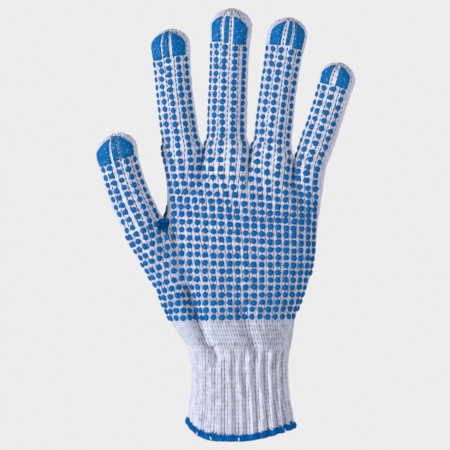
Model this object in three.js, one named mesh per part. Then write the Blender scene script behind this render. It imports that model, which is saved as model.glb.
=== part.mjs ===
// A seamless knitted cotton work glove for the left hand, with a ribbed cuff, an overlocked hem and
// rubber-like grip prints on the fingertips. It keeps the form that a hand gives it: every piece is a
// knitted wall round a hollow. Millimetres, +Z from the hem to the fingertips, palm side towards -Y,
// thumb towards -X, origin at the centre of the wrist opening, level with the lowest point of the hem.

import * as THREE from 'three';

// Driving sizes of the hand part
const HAND_BREADTH = 97.2; // along the row of the finger roots
const FINGER_LENGTH = 80.3; // the middle finger's, above its crotches
const FINGER_DEPTH = 20.2; // the middle finger's, palm side to back
const CUFF_TOP = 55.3; // height of the course where the ribs end and the plain knit starts
const HEEL_HEIGHT = 74; // from there to the thumb's crotch
const PALM_HEIGHT = 38.5; // from the thumb's crotch to the index finger's outer root
const WRIST_BREADTH = 60.3; // outside, at the top of the cuff
const WRIST_DEPTH = 41;
const WRIST_OFFSET = -1.15; // the wrist's centre lies a little towards the thumb
const PALM_DEPTH = 33;
const KNUCKLE_DEPTH = 28.5;
const WALL = 1.8; // knitted wall with its air
const WEB_DEPTH = 14; // height of the rounded web below a crotch
const ROOT_BLEND = 36; // height over which the palm turns into round finger roots
const THENAR = 9; // how far the thumb's root stands forward of the palm
const JOIN_GAP = 0.3; // clearance between neighbouring pieces
const FINGER_JOIN = 3; // height above a crotch where a finger's own piece starts

const THUMB_CROTCH_HEIGHT = CUFF_TOP + HEEL_HEIGHT;
const KNUCKLE_HEIGHT = THUMB_CROTCH_HEIGHT + PALM_HEIGHT;
const KNUCKLE_LEFT = -0.475 * HAND_BREADTH; // the index finger's outer root
const THUMB_CROTCH_INSET = 0.01 * HAND_BREADTH; // from there towards the little finger
const PALM_TAPER = 0.051 * HAND_BREADTH; // the little finger's side draws in down to the thumb's level

// Fingers and thumb. Wales and facets count the front half only. Base and width are shares of the
// hand's breadth, length, bow and curl of the finger length, depth of the finger depth. Tilt of the
// root and lean of the axis are in degrees, the lean towards the little finger.
const FINGER_TABLE = [
  { name: 'thumb', wales: 11, facets: 7, base: 0.247, baseTilt: 26.8, width: 0.246, depth: 1.015,
    length: 0.705, lean: -18.2, bow: -0.035, curl: 0.112 },
  { name: 'index_finger', wales: 11, facets: 8, base: 0.252, baseTilt: 4.9, width: 0.219, depth: 0.965,
    length: 0.873, lean: -6, bow: -0.011, curl: 0.075 },
  { name: 'middle_finger', wales: 12, facets: 8, base: 0.278, baseTilt: 0.6, width: 0.2325, depth: 1,
    length: 1, lean: 2.3, bow: -0.005, curl: 0.094 },
  { name: 'ring_finger', wales: 11, facets: 8, base: 0.2695, baseTilt: -15.2, width: 0.221, depth: 0.965,
    length: 0.984, lean: 7.9, bow: -0.016, curl: 0.087 },
  { name: 'little_finger', wales: 10, facets: 7, base: 0.2005, baseTilt: -17, width: 0.2015, depth: 0.866,
    length: 0.762, lean: 17.6, bow: 0.011, curl: 0.062 },
];
const [THUMB, ...FINGERS] = FINGER_TABLE.map((row) => ({
  ...row,
  base: row.base * HAND_BREADTH,
  width: row.width * HAND_BREADTH,
  depth: row.depth * FINGER_DEPTH,
  length: row.length * FINGER_LENGTH,
  bow: row.bow * FINGER_LENGTH,
  curl: row.curl * FINGER_LENGTH,
}));
const TIP_DOME = 0.5; // height of a fingertip's dome, as a share of the finger's width
const FINGER_ROWS = 6;
const DOME_ROWS = 4;
const LOWER_ROWS = 9;
const UPPER_ROWS = 5;

// Finger sections: height as a share of the finger's length, breadth and depth as shares of its own
const FINGER_SECTIONS = [
  { at: 0, breadth: 1, depth: 1.13 },
  { at: 0.2, breadth: 1.01, depth: 1.05 },
  { at: 0.45, breadth: 0.985, depth: 1 },
  { at: 0.7, breadth: 1, depth: 1 },
  { at: 0.86, breadth: 1.08, depth: 1.04 },
  { at: 1, breadth: 1.08, depth: 1.02 },
];

// Palm sections below the thumb's crotch: shares of the way from the wrist's edges to the crotch row's
const LOWER_SECTIONS = [
  { at: 0, thumbSide: 0, littleSide: 0, depth: 0 },
  { at: 0.25, thumbSide: 0.305, littleSide: 0.185, depth: 0.45 },
  { at: 0.5, thumbSide: 0.5, littleSide: 0.616, depth: 0.75 },
  { at: 0.75, thumbSide: 0.752, littleSide: 0.907, depth: 0.92 },
  { at: 1, thumbSide: 1, littleSide: 1, depth: 1 },
];

// Palm sections above it: how far the index finger's side draws in, as a share of the wrist's breadth
const UPPER_SECTIONS = [
  { at: 0, drawnIn: 0 },
  { at: 0.12, drawnIn: 0.034 },
  { at: 0.4, drawnIn: 0.045 },
  { at: 0.75, drawnIn: 0.026 },
  { at: 1, drawnIn: 0 },
];

// Folds on the palm side, placed across (0 thumb side to 1 little finger's side of the wrist) and up
// (0 cuff to 1 thumb crotch); depth and breadth are shares of the palm's depth
const FOLDS = [
  { fromAcross: -0.18, fromUp: 0.98, toAcross: 0.06, toUp: 0.36, depth: 0.05, breadth: 0.16 },
  { fromAcross: 0.0, fromUp: 0.42, toAcross: 0.24, toUp: -0.04, depth: 0.1, breadth: 0.12 },
  { fromAcross: 0.57, fromUp: 0.22, toAcross: 0.66, toUp: -0.02, depth: 0.035, breadth: 0.1 },
];

// Cuff and hem
const RIBS = 26;
const RIB_FACETS = 3;
const RIB_FURROW = 1.3; // how deep the furrow between two ribs is
const CUFF_WALL = 2.2;
const CUFF_ROWS = 3;
const HEM_DIP = 9.5; // how far the hem turns up to the thumb's side of the wrist, close by its edge
const HEM_SLOPE = 6.9; // how far it rises, more evenly, to the little finger's side
const HEM_HEIGHT = 4.4;
const HEM_THICKNESS = 1.2;
const CUFF_SECTIONS = [
  { at: 0, breadth: 1.035, depth: 1.08 },
  { at: 0.12, breadth: 1.022, depth: 1.04 },
  { at: 0.2, breadth: 1.005, depth: 1.01 },
  { at: 0.35, breadth: 0.97, depth: 0.98 },
  { at: 0.6, breadth: 0.942, depth: 0.96 },
  { at: 0.85, breadth: 0.955, depth: 0.97 },
  { at: 1, breadth: 1, depth: 1 },
];

// Grip prints on the fingertips: each strip's limits across the front half (0 to 1), the distance of its
// lower end from the tip, and those of its upper end's two corners, all three in shares of the width
const PRINT_THICKNESS = 0.7;
const PRINT_COLUMNS = 3;
const PRINT_ROWS = 5;
const PRINTS = {
  thumb: [
    { from: 0.12, to: 0.395, low: 0.67, highFrom: 0.34, highTo: 0.1 },
    { from: 0.435, to: 0.525, low: 0.65, highFrom: 0.06, highTo: 0.06 },
    { from: 0.56, to: 0.8, low: 0.65, highFrom: 0.07, highTo: 0.42 },
  ],
  index_finger: [
    { from: 0.08, to: 0.33, low: 0.83, highFrom: 0.35, highTo: 0.11 },
    { from: 0.375, to: 0.46, low: 0.78, highFrom: 0.08, highTo: 0.08 },
    { from: 0.515, to: 0.77, low: 0.77, highFrom: 0.09, highTo: 0.42 },
  ],
  middle_finger: [
    { from: 0.13, to: 0.32, low: 0.88, highFrom: 0.42, highTo: 0.22 },
    { from: 0.39, to: 0.465, low: 0.9, highFrom: 0.22, highTo: 0.22 },
    { from: 0.54, to: 0.79, low: 0.93, highFrom: 0.23, highTo: 0.52 },
  ],
  ring_finger: [
    { from: 0.19, to: 0.41, low: 0.8, highFrom: 0.43, highTo: 0.13 },
    { from: 0.495, to: 0.565, low: 0.77, highFrom: 0.1, highTo: 0.1 },
    { from: 0.625, to: 0.83, low: 0.83, highFrom: 0.12, highTo: 0.36 },
  ],
  little_finger: [
    { from: 0.13, to: 0.36, low: 0.75, highFrom: 0.46, highTo: 0.12 },
    { from: 0.495, to: 0.73, low: 0.71, highFrom: 0.1, highTo: 0.32 },
  ],
};

// Materials
const KNIT = new THREE.MeshStandardMaterial({ color: 0xd9d9e8, roughness: 0.95, metalness: 0 });
const RUBBER = new THREE.MeshStandardMaterial({ color: 0x0a5fb4, roughness: 0.45, metalness: 0 });
const THREAD = new THREE.MeshStandardMaterial({ color: 0x1f6fc0, roughness: 0.9, metalness: 0 });

// Arithmetic on plain numbers and on [x, z] pairs in the front view
const mix = (a, b, share) => a + (b - a) * share;
const mixPair = (p, q, share) => [mix(p[0], q[0], share), mix(p[1], q[1], share)];
const clamp01 = (value) => Math.min(1, Math.max(0, value));
const ease = (share) => share * share * (3 - 2 * share);
const turned = (degrees) => {
  const angle = THREE.MathUtils.degToRad(degrees);
  return [Math.cos(angle), Math.sin(angle)];
};

// A smooth curve through one column of a table of sections, read at a share
function along(table, column, share) {
  let next = 1;
  while (next < table.length - 1 && share > table[next].at) next += 1;
  const a = table[next - 1];
  const b = table[next];
  const before = table[Math.max(0, next - 2)];
  const after = table[Math.min(table.length - 1, next + 1)];
  const span = b.at - a.at;
  const slopeA = ((b[column] - before[column]) / (b.at - before.at)) * span;
  const slopeB = ((after[column] - a[column]) / (after.at - a.at)) * span;
  const t = (share - a.at) / span;
  return (2 * t ** 3 - 3 * t ** 2 + 1) * a[column] + (t ** 3 - 2 * t ** 2 + t) * slopeA
    + (3 * t ** 2 - 2 * t ** 3) * b[column] + (t ** 3 - t ** 2) * slopeB;
}

// Half of a flattened oval, walked evenly: at a share of its length, how far across (0 to 1) and how
// high (0 to 1) it is. Flatness is depth over breadth.
const OVAL_STEPS = 90;
const OVAL_POWER = 2.3;
function ovalHalf(flatness) {
  const exponent = 2 / OVAL_POWER;
  const across = [];
  const height = [];
  const walked = [0];
  for (let i = 0; i <= OVAL_STEPS; i += 1) {
    const angle = (Math.PI * i) / OVAL_STEPS;
    const cosine = Math.cos(angle);
    across.push(0.5 - 0.5 * Math.sign(cosine) * Math.abs(cosine) ** exponent);
    height.push(Math.abs(Math.sin(angle)) ** exponent);
    if (i > 0) {
      const run = across[i] - across[i - 1];
      const rise = (height[i] - height[i - 1]) * 0.5 * flatness;
      walked.push(walked[i - 1] + Math.hypot(run, rise));
    }
  }
  height[OVAL_STEPS] = 0;
  return (share) => {
    const goal = clamp01(share) * walked[OVAL_STEPS];
    let next = 1;
    while (next < OVAL_STEPS && walked[next] < goal) next += 1;
    const t = (goal - walked[next - 1]) / (walked[next] - walked[next - 1]);
    return { across: mix(across[next - 1], across[next], t), height: mix(height[next - 1], height[next], t) };
  };
}

// Half of a finger's round section, in the same terms
const roundHalf = (share) => ({
  across: 0.5 - 0.5 * Math.cos(Math.PI * share),
  height: Math.sin(Math.PI * share),
});

// The row of points where the fingers start: the index finger's outer edge, three crotches, outer edge
const knuckles = [[KNUCKLE_LEFT, KNUCKLE_HEIGHT]];
for (const finger of FINGERS) {
  const last = knuckles[knuckles.length - 1];
  const [c, s] = turned(finger.baseTilt);
  knuckles.push([last[0] + finger.base * c, last[1] + finger.base * s]);
}
const knuckleDrop = knuckles[0][1] - knuckles[FINGERS.length][1];

// The row at the thumb's crotch: the thumb's outer edge, the crotch, the little finger's side
const thumbCrotch = [KNUCKLE_LEFT + THUMB_CROTCH_INSET, THUMB_CROTCH_HEIGHT];
const [thumbC, thumbS] = turned(THUMB.baseTilt);
const thumbOuter = [thumbCrotch[0] - THUMB.base * thumbC, thumbCrotch[1] - THUMB.base * thumbS];
const palmOuter = [knuckles[FINGERS.length][0] - PALM_TAPER, THUMB_CROTCH_HEIGHT - 0.56 * knuckleDrop];
const wristLeft = [WRIST_OFFSET - WRIST_BREADTH / 2, CUFF_TOP];
const wristRight = [WRIST_OFFSET + WRIST_BREADTH / 2, CUFF_TOP];

// Where each finger's wales lie, as shares of all front wales and of those above the thumb
const fingerWales = FINGERS.reduce((sum, finger) => sum + finger.wales, 0);
const allWales = fingerWales + THUMB.wales;
const starts = [0];
for (const finger of FINGERS) starts.push(starts[starts.length - 1] + finger.wales);
const palmShare = (index, u) => mix(starts[index], starts[index + 1], u) / fingerWales;

// How far a point's wale has passed from the undivided section to the divided one: a quarter circle at
// the crotch itself, so that the web is round, and an even ease in the middle of a finger
function divided(distance, u, firstOpen, lastOpen) {
  const web = clamp01(1 - distance / WEB_DEPTH);
  const root = clamp01(1 - distance / ROOT_BLEND);
  const fromCrotch = Math.min(firstOpen ? 1 : 2 * u, lastOpen ? 1 : 2 * (1 - u));
  return mix(1 - Math.sqrt(1 - web * web), ease(root), ease(clamp01(fromCrotch)));
}

// Half the depth of a finger where it leaves the palm
const rootHalf = (finger) => (finger.depth / 2) * FINGER_SECTIONS[0].depth;

// How far the folds press in the palm side at a point of the front view
function foldDepth(point) {
  let pressed = 0;
  for (const fold of FOLDS) {
    const spot = (across, up) => [
      mix(wristLeft[0], wristRight[0], across), mix(CUFF_TOP, THUMB_CROTCH_HEIGHT, up),
    ];
    const from = spot(fold.fromAcross, fold.fromUp);
    const to = spot(fold.toAcross, fold.toUp);
    const run = [to[0] - from[0], to[1] - from[1]];
    const lengthSquared = run[0] ** 2 + run[1] ** 2;
    const share = clamp01(((point[0] - from[0]) * run[0] + (point[1] - from[1]) * run[1]) / lengthSquared);
    const foot = mixPair(from, to, share);
    const away = Math.hypot(point[0] - foot[0], point[1] - foot[1]) / (fold.breadth * PALM_DEPTH);
    pressed += fold.depth * PALM_DEPTH * Math.exp(-away * away);
  }
  return pressed;
}

// A point from its place in the front view, the middle surface's y, half the depth, the side (-1 palm,
// +1 back of the hand) and how deep a fold presses it in
function solidPoint(place, middle, half, side, fold) {
  const pressed = side < 0 ? Math.min(fold, 0.6 * half) : 0;
  return new THREE.Vector3(place[0], middle + side * (half - pressed), place[1]);
}

// Palm below the thumb's crotch. Wales are counted by block: -1 is the thumb's, 0 to 3 the fingers'.
function lowerPoint(block, u, v, side) {
  const left = [
    mix(wristLeft[0], thumbOuter[0], along(LOWER_SECTIONS, 'thumbSide', v)),
    mix(wristLeft[1], thumbOuter[1], v),
  ];
  const right = [
    mix(wristRight[0], palmOuter[0], along(LOWER_SECTIONS, 'littleSide', v)),
    mix(wristRight[1], palmOuter[1], v),
  ];
  const depth = mix(WRIST_DEPTH, PALM_DEPTH, along(LOWER_SECTIONS, 'depth', v));
  const whole = ovalHalf(depth / (right[0] - left[0]));
  const wale = block < 0 ? u * THUMB.wales : THUMB.wales + palmShare(block, u) * fingerWales;
  const onWhole = whole(wale / allWales);
  const crotchStart = mixPair(wristLeft, wristRight, ovalHalf(WRIST_DEPTH / WRIST_BREADTH)(THUMB.wales / allWales).across);
  const seam = mixPair(crotchStart, thumbCrotch, v);
  const palm = ovalHalf(PALM_DEPTH / (palmOuter[0] - thumbCrotch[0]));
  const onPart = block < 0 ? roundHalf(u) : palm(palmShare(block, u));
  const partPlace = block < 0 ? mixPair(left, seam, onPart.across) : mixPair(seam, right, onPart.across);
  const place = mixPair(mixPair(left, right, onWhole.across), partPlace, ease(v));
  const rise = (1 - v) * (THUMB_CROTCH_HEIGHT - CUFF_TOP);
  const passed = block < 0 ? divided(rise, u, true, false)
    : divided(rise, Math.min(1, 2.5 * palmShare(block, u)), false, true);
  const partHalf = block < 0 ? rootHalf(THUMB) : PALM_DEPTH / 2;
  const half = mix((depth / 2) * onWhole.height, partHalf * onPart.height, passed);
  const fold = foldDepth(place) * ease(clamp01(3 * (1 - v)));
  return solidPoint(place, rootForward(wale, v), half, side, fold);
}

// How far the middle surface stands forward at the thumb's root
function rootForward(wale, v) {
  const reach = 1.6 * THUMB.wales;
  return -THENAR * v ** 1.5 * (1 - ease(clamp01(wale / reach)));
}

// Palm above the thumb's crotch, up to the row of finger crotches
function upperPoint(index, u, v, side) {
  const left = mixPair(thumbCrotch, knuckles[0], v);
  left[0] += along(UPPER_SECTIONS, 'drawnIn', v) * WRIST_BREADTH;
  const right = mixPair(palmOuter, knuckles[FINGERS.length], v);
  const palm = ovalHalf(PALM_DEPTH / (palmOuter[0] - thumbCrotch[0]));
  const onWhole = palm(palmShare(index, u));
  const edge = (i) => {
    if (i === 0) return left;
    if (i === FINGERS.length) return right;
    return mixPair(mixPair(thumbCrotch, palmOuter, palm(starts[i] / fingerWales).across), knuckles[i], v);
  };
  const onFinger = roundHalf(u);
  const fingerPlace = mixPair(edge(index), edge(index + 1), onFinger.across);
  const place = mixPair(mixPair(left, right, onWhole.across), fingerPlace, ease(v));
  const rise = (1 - v) * (KNUCKLE_HEIGHT - THUMB_CROTCH_HEIGHT);
  const passed = divided(rise, u, index === 0, index === FINGERS.length - 1);
  const depth = mix(PALM_DEPTH, KNUCKLE_DEPTH, v);
  const half = mix((depth / 2) * onWhole.height, rootHalf(FINGERS[index]) * onFinger.height, passed);
  const wale = THUMB.wales + palmShare(index, u) * fingerWales;
  return solidPoint(place, rootForward(wale, 1) * (1 - ease(v)), half, side, 0);
}

// A finger or the thumb: round sections carried up a slightly bowed and curled axis to a closed dome.
// Height is the distance above the base row, and dome the angle over the tip (0 below it).
function fingerPoint(finger, baseLeft, baseRight, u, height, dome, side) {
  const share = height / finger.length;
  const base = mixPair(baseLeft, baseRight, 0.5);
  const [uprightC, uprightS] = turned(90 - finger.lean);
  const bowed = finger.bow * 4 * share * (1 - share);
  const centre = [
    base[0] + height * uprightC + bowed * uprightS, base[1] + height * uprightS - bowed * uprightC,
  ];
  const settled = ease(clamp01(height / (0.36 * finger.width)));
  const [tiltC, tiltS] = turned(mix(finger.baseTilt, -finger.lean, settled));
  const breadth = mix(finger.base, finger.width * along(FINGER_SECTIONS, 'breadth', share), settled);
  const round = roundHalf(u);
  const out = (round.across - 0.5) * breadth * Math.cos(dome);
  const place = [centre[0] + out * tiltC, centre[1] + out * tiltS];
  const half = (finger.depth / 2) * along(FINGER_SECTIONS, 'depth', share);
  const root = finger === THUMB ? rootForward(u * THUMB.wales, 1) : 0;
  const rootAtMiddle = finger === THUMB ? rootForward(0.5 * THUMB.wales, 1) : 0;
  const middle = mix(root, rootAtMiddle, settled) - finger.curl * share ** 1.8;
  return new THREE.Vector3(place[0], middle + side * half * round.height * Math.cos(dome), place[1]);
}

// Heights and dome angles of a finger's rows, from a first height to the tip
function fingerRows(finger, first) {
  const dome = TIP_DOME * finger.width;
  const rows = [];
  for (let i = 0; i <= FINGER_ROWS; i += 1) {
    rows.push({ height: mix(first, finger.length - dome, i / FINGER_ROWS), dome: 0 });
  }
  for (let i = 1; i <= DOME_ROWS; i += 1) {
    const angle = (0.5 * Math.PI * i) / DOME_ROWS;
    rows.push({ height: finger.length - dome + dome * Math.sin(angle), dome: angle });
  }
  return rows;
}

// A skin of four-sided faces with shared corners, each face belonging to a piece, or to a gap between
// two pieces, which only helps to work out the way the surface faces
class Skin {
  constructor() {
    this.corners = [];
    this.places = new Map();
    this.faces = [];
  }

  corner(point) {
    const key = [point.x, point.y, point.z].map((value) => Math.round(value * 2000)).join(' ');
    if (!this.places.has(key)) {
      this.places.set(key, this.corners.length);
      this.corners.push(point);
    }
    return this.places.get(key);
  }

  // A patch of rows and columns of points, facing the palm side (-1) or the back of the hand (+1)
  patch(piece, grid, side) {
    for (let row = 0; row + 1 < grid.length; row += 1) {
      for (let column = 0; column + 1 < grid[row].length; column += 1) {
        const ring = [grid[row][column], grid[row][column + 1], grid[row + 1][column + 1], grid[row + 1][column]];
        const loop = ring.map((point) => this.corner(point)).filter((c, i, all) => all.indexOf(c) === i);
        if (side > 0) loop.reverse();
        if (loop.length > 2) this.faces.push({ piece, loop });
      }
    }
  }

  triangles(faces) {
    const list = [];
    for (const { loop } of faces) {
      for (let i = 1; i + 1 < loop.length; i += 1) list.push([loop[0], loop[i], loop[i + 1]]);
    }
    return list;
  }

  // The way each corner faces: the mean of its triangles, weighted by their area
  normals() {
    const sums = this.corners.map(() => new THREE.Vector3());
    for (const [a, b, c] of this.triangles(this.faces)) {
      const ab = this.corners[b].clone().sub(this.corners[a]);
      const normal = ab.cross(this.corners[c].clone().sub(this.corners[a]));
      for (const corner of [a, b, c]) sums[corner].add(normal);
    }
    return sums.map((sum) => sum.normalize());
  }

  // A closed solid of one piece's faces, from an outer to an inner offset of the skin
  solid(piece, normals, outer, inner) {
    const triangles = this.triangles(this.faces.filter((face) => face.piece === piece));
    const edges = new Map();
    for (const [a, b, c] of triangles) {
      for (const [p, q] of [[a, b], [b, c], [c, a]]) edges.set(`${p} ${q}`, [p, q]);
    }
    const positions = [];
    const put = (corner, offset) => {
      positions.push(...this.corners[corner].clone().addScaledVector(normals[corner], offset).toArray());
    };
    for (const [a, b, c] of triangles) {
      for (const corner of [a, b, c]) put(corner, outer);
      for (const corner of [a, c, b]) put(corner, inner);
    }
    for (const [p, q] of edges.values()) {
      if (!edges.has(`${q} ${p}`)) {
        for (const [corner, offset] of [[q, outer], [p, outer], [p, inner]]) put(corner, offset);
        for (const [corner, offset] of [[q, outer], [p, inner], [q, inner]]) put(corner, offset);
      }
    }
    return triangleGeometry(positions);
  }
}

function triangleGeometry(positions) {
  const geometry = new THREE.BufferGeometry();
  geometry.setAttribute('position', new THREE.Float32BufferAttribute(positions, 3));
  geometry.computeVertexNormals();
  return geometry;
}

const shares = (count) => Array.from({ length: count + 1 }, (_, i) => i / count);

// The knitted hand: palm with its webs and stubs, four fingers and a thumb, all on one skin
const hand = new Skin();
const blocks = [THUMB, ...FINGERS];
for (const side of [-1, 1]) {
  blocks.forEach((block, order) => {
    const grid = shares(LOWER_ROWS).map((v) => shares(block.facets).map((u) => lowerPoint(order - 1, u, v, side)));
    hand.patch('palm_body', grid, side);
  });
  FINGERS.forEach((finger, index) => {
    const grid = shares(UPPER_ROWS).map((v) => shares(finger.facets).map((u) => upperPoint(index, u, v, side)));
    hand.patch('palm_body', grid, side);
  });
  blocks.forEach((block, order) => {
    const ends = order === 0 ? [thumbOuter, thumbCrotch] : [knuckles[order - 1], knuckles[order]];
    const row = ({ height, dome }) => shares(block.facets).map(
      (u) => fingerPoint(block, ends[0], ends[1], u, height, dome, side),
    );
    const stub = [0, FINGER_JOIN - JOIN_GAP].map((height) => row({ height, dome: 0 }));
    const tube = fingerRows(block, FINGER_JOIN).map(row);
    hand.patch('palm_body', stub, side);
    hand.patch('gap', [stub[stub.length - 1], tube[0]], side);
    hand.patch(block.name, tube, side);
  });
}
const handNormals = hand.normals();

// Grip prints: thin strips that follow the fingertip, one clearance proud of the knit
function printStrip(block, ends, strip) {
  const dome = TIP_DOME * block.width;
  const skin = new Skin();
  const point = (up, across) => {
    const fromTip = mix(strip.low, mix(strip.highFrom, strip.highTo, across), up) * block.width;
    const angle = Math.asin(Math.max(0, 1 - fromTip / dome));
    const u = mix(strip.from, strip.to, across);
    return fingerPoint(block, ends[0], ends[1], u, block.length - fromTip, angle, -1);
  };
  skin.patch('strip', shares(PRINT_ROWS).map((up) => shares(PRINT_COLUMNS).map((across) => point(up, across))), -1);
  return skin.solid('strip', skin.normals(), JOIN_GAP + PRINT_THICKNESS, JOIN_GAP);
}

// Cuff: a ring of ribs at a share of the cuff's height, walked evenly round, moved out by an offset
function cuffRing(share, offset, lift) {
  const breadth = WRIST_BREADTH * along(CUFF_SECTIONS, 'breadth', share);
  const depth = WRIST_DEPTH * along(CUFF_SECTIONS, 'depth', share);
  const half = ovalHalf(depth / breadth);
  const count = RIBS * RIB_FACETS;
  const points = Array.from({ length: count }, (_, i) => {
    const t = (2 * i) / count;
    const side = t < 1 ? -1 : 1;
    const oval = half(t < 1 ? t : 2 - t);
    return new THREE.Vector2((oval.across - 0.5) * breadth, side * (depth / 2) * oval.height);
  });
  return points.map((point, i) => {
    const run = points[(i + 1) % count].clone().sub(points[(i + count - 1) % count]).normalize();
    const furrow = (0.5 + 0.5 * Math.cos((2 * Math.PI * i) / RIB_FACETS)) ** 2;
    const pressed = RIB_FURROW * furrow * ease(clamp01((1 - share) * 4));
    const moved = point.clone().addScaledVector(new THREE.Vector2(run.y, -run.x), offset - pressed);
    const aside = Math.abs((2 * point.x) / breadth);
    const edge = point.x < 0 ? HEM_DIP * aside ** 5 : HEM_SLOPE * aside ** 1.5;
    const centre = WRIST_OFFSET * share;
    return new THREE.Vector3(moved.x + centre, moved.y, mix(edge + lift, CUFF_TOP - JOIN_GAP, share));
  });
}

// A closed solid from rings of equal count, each joined to the next and the last to the first
function ringSolid(rings) {
  const positions = [];
  rings.forEach((ring, order) => {
    const next = rings[(order + 1) % rings.length];
    ring.forEach((point, i) => {
      const j = (i + 1) % ring.length;
      for (const corner of [point, ring[j], next[j], point, next[j], next[i]]) positions.push(...corner.toArray());
    });
  });
  return triangleGeometry(positions);
}

const cuffLift = HEM_THICKNESS + JOIN_GAP;
const hemShare = (HEM_HEIGHT - cuffLift) / (CUFF_TOP - JOIN_GAP - cuffLift);
const cuffShares = [0, ...shares(CUFF_ROWS).map((share) => mix(hemShare, 1, share))];
const cuffOutside = cuffShares.map((share) => cuffRing(share, 0, cuffLift));
const cuffInside = cuffShares.map((share) => cuffRing(share, -CUFF_WALL, cuffLift)).reverse();
const cuff = ringSolid([...cuffOutside, ...cuffInside]);

// Hem: an overlocked band folded round the cuff's lower edge, open upwards
const hemOuter = JOIN_GAP + HEM_THICKNESS;
const hem = ringSolid([
  cuffRing(0, hemOuter, 0),
  cuffRing(hemShare, hemOuter, cuffLift),
  cuffRing(hemShare, JOIN_GAP, cuffLift),
  cuffRing(0, JOIN_GAP, HEM_THICKNESS),
  cuffRing(0, -CUFF_WALL - JOIN_GAP, HEM_THICKNESS),
  cuffRing(hemShare, -CUFF_WALL - JOIN_GAP, cuffLift),
  cuffRing(hemShare, -CUFF_WALL - hemOuter, cuffLift),
  cuffRing(0, -CUFF_WALL - hemOuter, 0),
]);

// The glove
const glove = new THREE.Group();
function add(name, geometry, material) {
  const mesh = new THREE.Mesh(geometry, material);
  mesh.name = name;
  glove.add(mesh);
}
add('palm_body', hand.solid('palm_body', handNormals, 0, -WALL), KNIT);
for (const block of blocks) add(block.name, hand.solid(block.name, handNormals, 0, -WALL), KNIT);
add('ribbed_cuff', cuff, KNIT);
add('hem_band', hem, THREAD);
blocks.forEach((block, order) => {
  const ends = order === 0 ? [thumbOuter, thumbCrotch] : [knuckles[order - 1], knuckles[order]];
  PRINTS[block.name].forEach((strip, i) => {
    add(`${block.name}_print_${i + 1}`, printStrip(block, ends, strip), RUBBER);
  });
});

export default glove;
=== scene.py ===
import math

import bpy
import numpy as np
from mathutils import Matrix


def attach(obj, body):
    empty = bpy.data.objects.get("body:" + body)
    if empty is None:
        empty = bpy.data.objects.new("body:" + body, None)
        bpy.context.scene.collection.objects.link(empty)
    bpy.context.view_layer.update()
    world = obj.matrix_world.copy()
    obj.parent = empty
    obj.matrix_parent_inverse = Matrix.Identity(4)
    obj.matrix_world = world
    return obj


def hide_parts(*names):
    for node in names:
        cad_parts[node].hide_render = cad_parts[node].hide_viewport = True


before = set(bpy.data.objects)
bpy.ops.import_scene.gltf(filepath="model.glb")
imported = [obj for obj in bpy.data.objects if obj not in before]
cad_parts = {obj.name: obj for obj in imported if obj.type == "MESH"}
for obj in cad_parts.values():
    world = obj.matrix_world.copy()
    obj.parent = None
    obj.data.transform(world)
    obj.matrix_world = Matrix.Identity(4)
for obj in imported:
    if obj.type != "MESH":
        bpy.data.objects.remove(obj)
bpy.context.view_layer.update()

# The glove's form. A seamless glove is one knitted tube that divides into a thumb and four fingers;
# these sizes, in millimetres, are the solids' own, so that the knit lies where their walls do.
MM = 0.001
HAND_BREADTH = 97.2
FINGER_LENGTH = 80.3
FINGER_DEPTH = 20.2
CUFF_TOP = 55.3
HEEL_HEIGHT = 74.0
PALM_HEIGHT = 38.5
WRIST_BREADTH = 60.3
WRIST_DEPTH = 41.0
WRIST_OFFSET = -1.15  # the wrist's centre lies a little towards the thumb
PALM_DEPTH = 33.0
KNUCKLE_DEPTH = 28.5
WEB_DEPTH = 14.0  # height of the rounded web below a crotch
ROOT_BLEND = 36.0  # height over which the palm turns into round finger roots
VALLEY_WALES = 2.0  # half breadth of the valleys between the finger roots
VALLEY_DEPTH = 0.75  # how far they press in the front, as a share of its depth
VALLEY_LENGTH = 26.0
THENAR = 9.0  # how far the thumb's root stands forward of the palm
THENAR_RISE = 1.5
THENAR_REACH = 1.6
TIP_DOME = 0.5  # height of a fingertip's dome, as a share of the finger's width
PALM_EASE = 0.2  # share of the palm's front over which it eases away from the thumb's crotch
ROOT_SETTLES = 0.36  # widths up a finger at which its root has become round
CURL_POWER = 1.8
OVAL_POWER = 2.3  # 2 is an ellipse, more is squarer
OVAL_POINTS = 181
THUMB_CROTCH_HEIGHT = CUFF_TOP + HEEL_HEIGHT
KNUCKLE_HEIGHT = THUMB_CROTCH_HEIGHT + PALM_HEIGHT
KNUCKLE_LEFT = -0.475 * HAND_BREADTH
THUMB_CROTCH_INSET = 0.01 * HAND_BREADTH
PALM_TAPER = 0.051 * HAND_BREADTH
PALM_OUTER_DROP = 0.56

# Fingers and thumb: wales of the front half, shares of the hand's breadth, the finger length and the finger
# depth, and degrees for the root's tilt and the axis's lean.
FINGER_COLUMNS = ("name", "wales", "base", "base_tilt", "width", "depth", "length", "lean", "bow", "curl")
FINGER_TABLE = (
    ("thumb", 11, 0.247, 26.8, 0.246, 1.015, 0.705, -18.2, -0.035, 0.112),
    ("index_finger", 11, 0.252, 4.9, 0.219, 0.965, 0.873, -6.0, -0.011, 0.075),
    ("middle_finger", 12, 0.278, 0.6, 0.2325, 1.0, 1.0, 2.3, -0.005, 0.094),
    ("ring_finger", 11, 0.2695, -15.2, 0.221, 0.965, 0.984, 7.9, -0.016, 0.087),
    ("little_finger", 10, 0.2005, -17.0, 0.2015, 0.866, 0.762, 17.6, 0.011, 0.062),
)
# Sections of a finger: height, breadth and depth, as shares of its own.
FINGER_SECTIONS = ((0, 1, 1.13), (0.2, 1.01, 1.05), (0.45, 0.985, 1), (0.7, 1, 1), (0.86, 1.08, 1.04),
                   (1, 1.08, 1.02))
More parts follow.
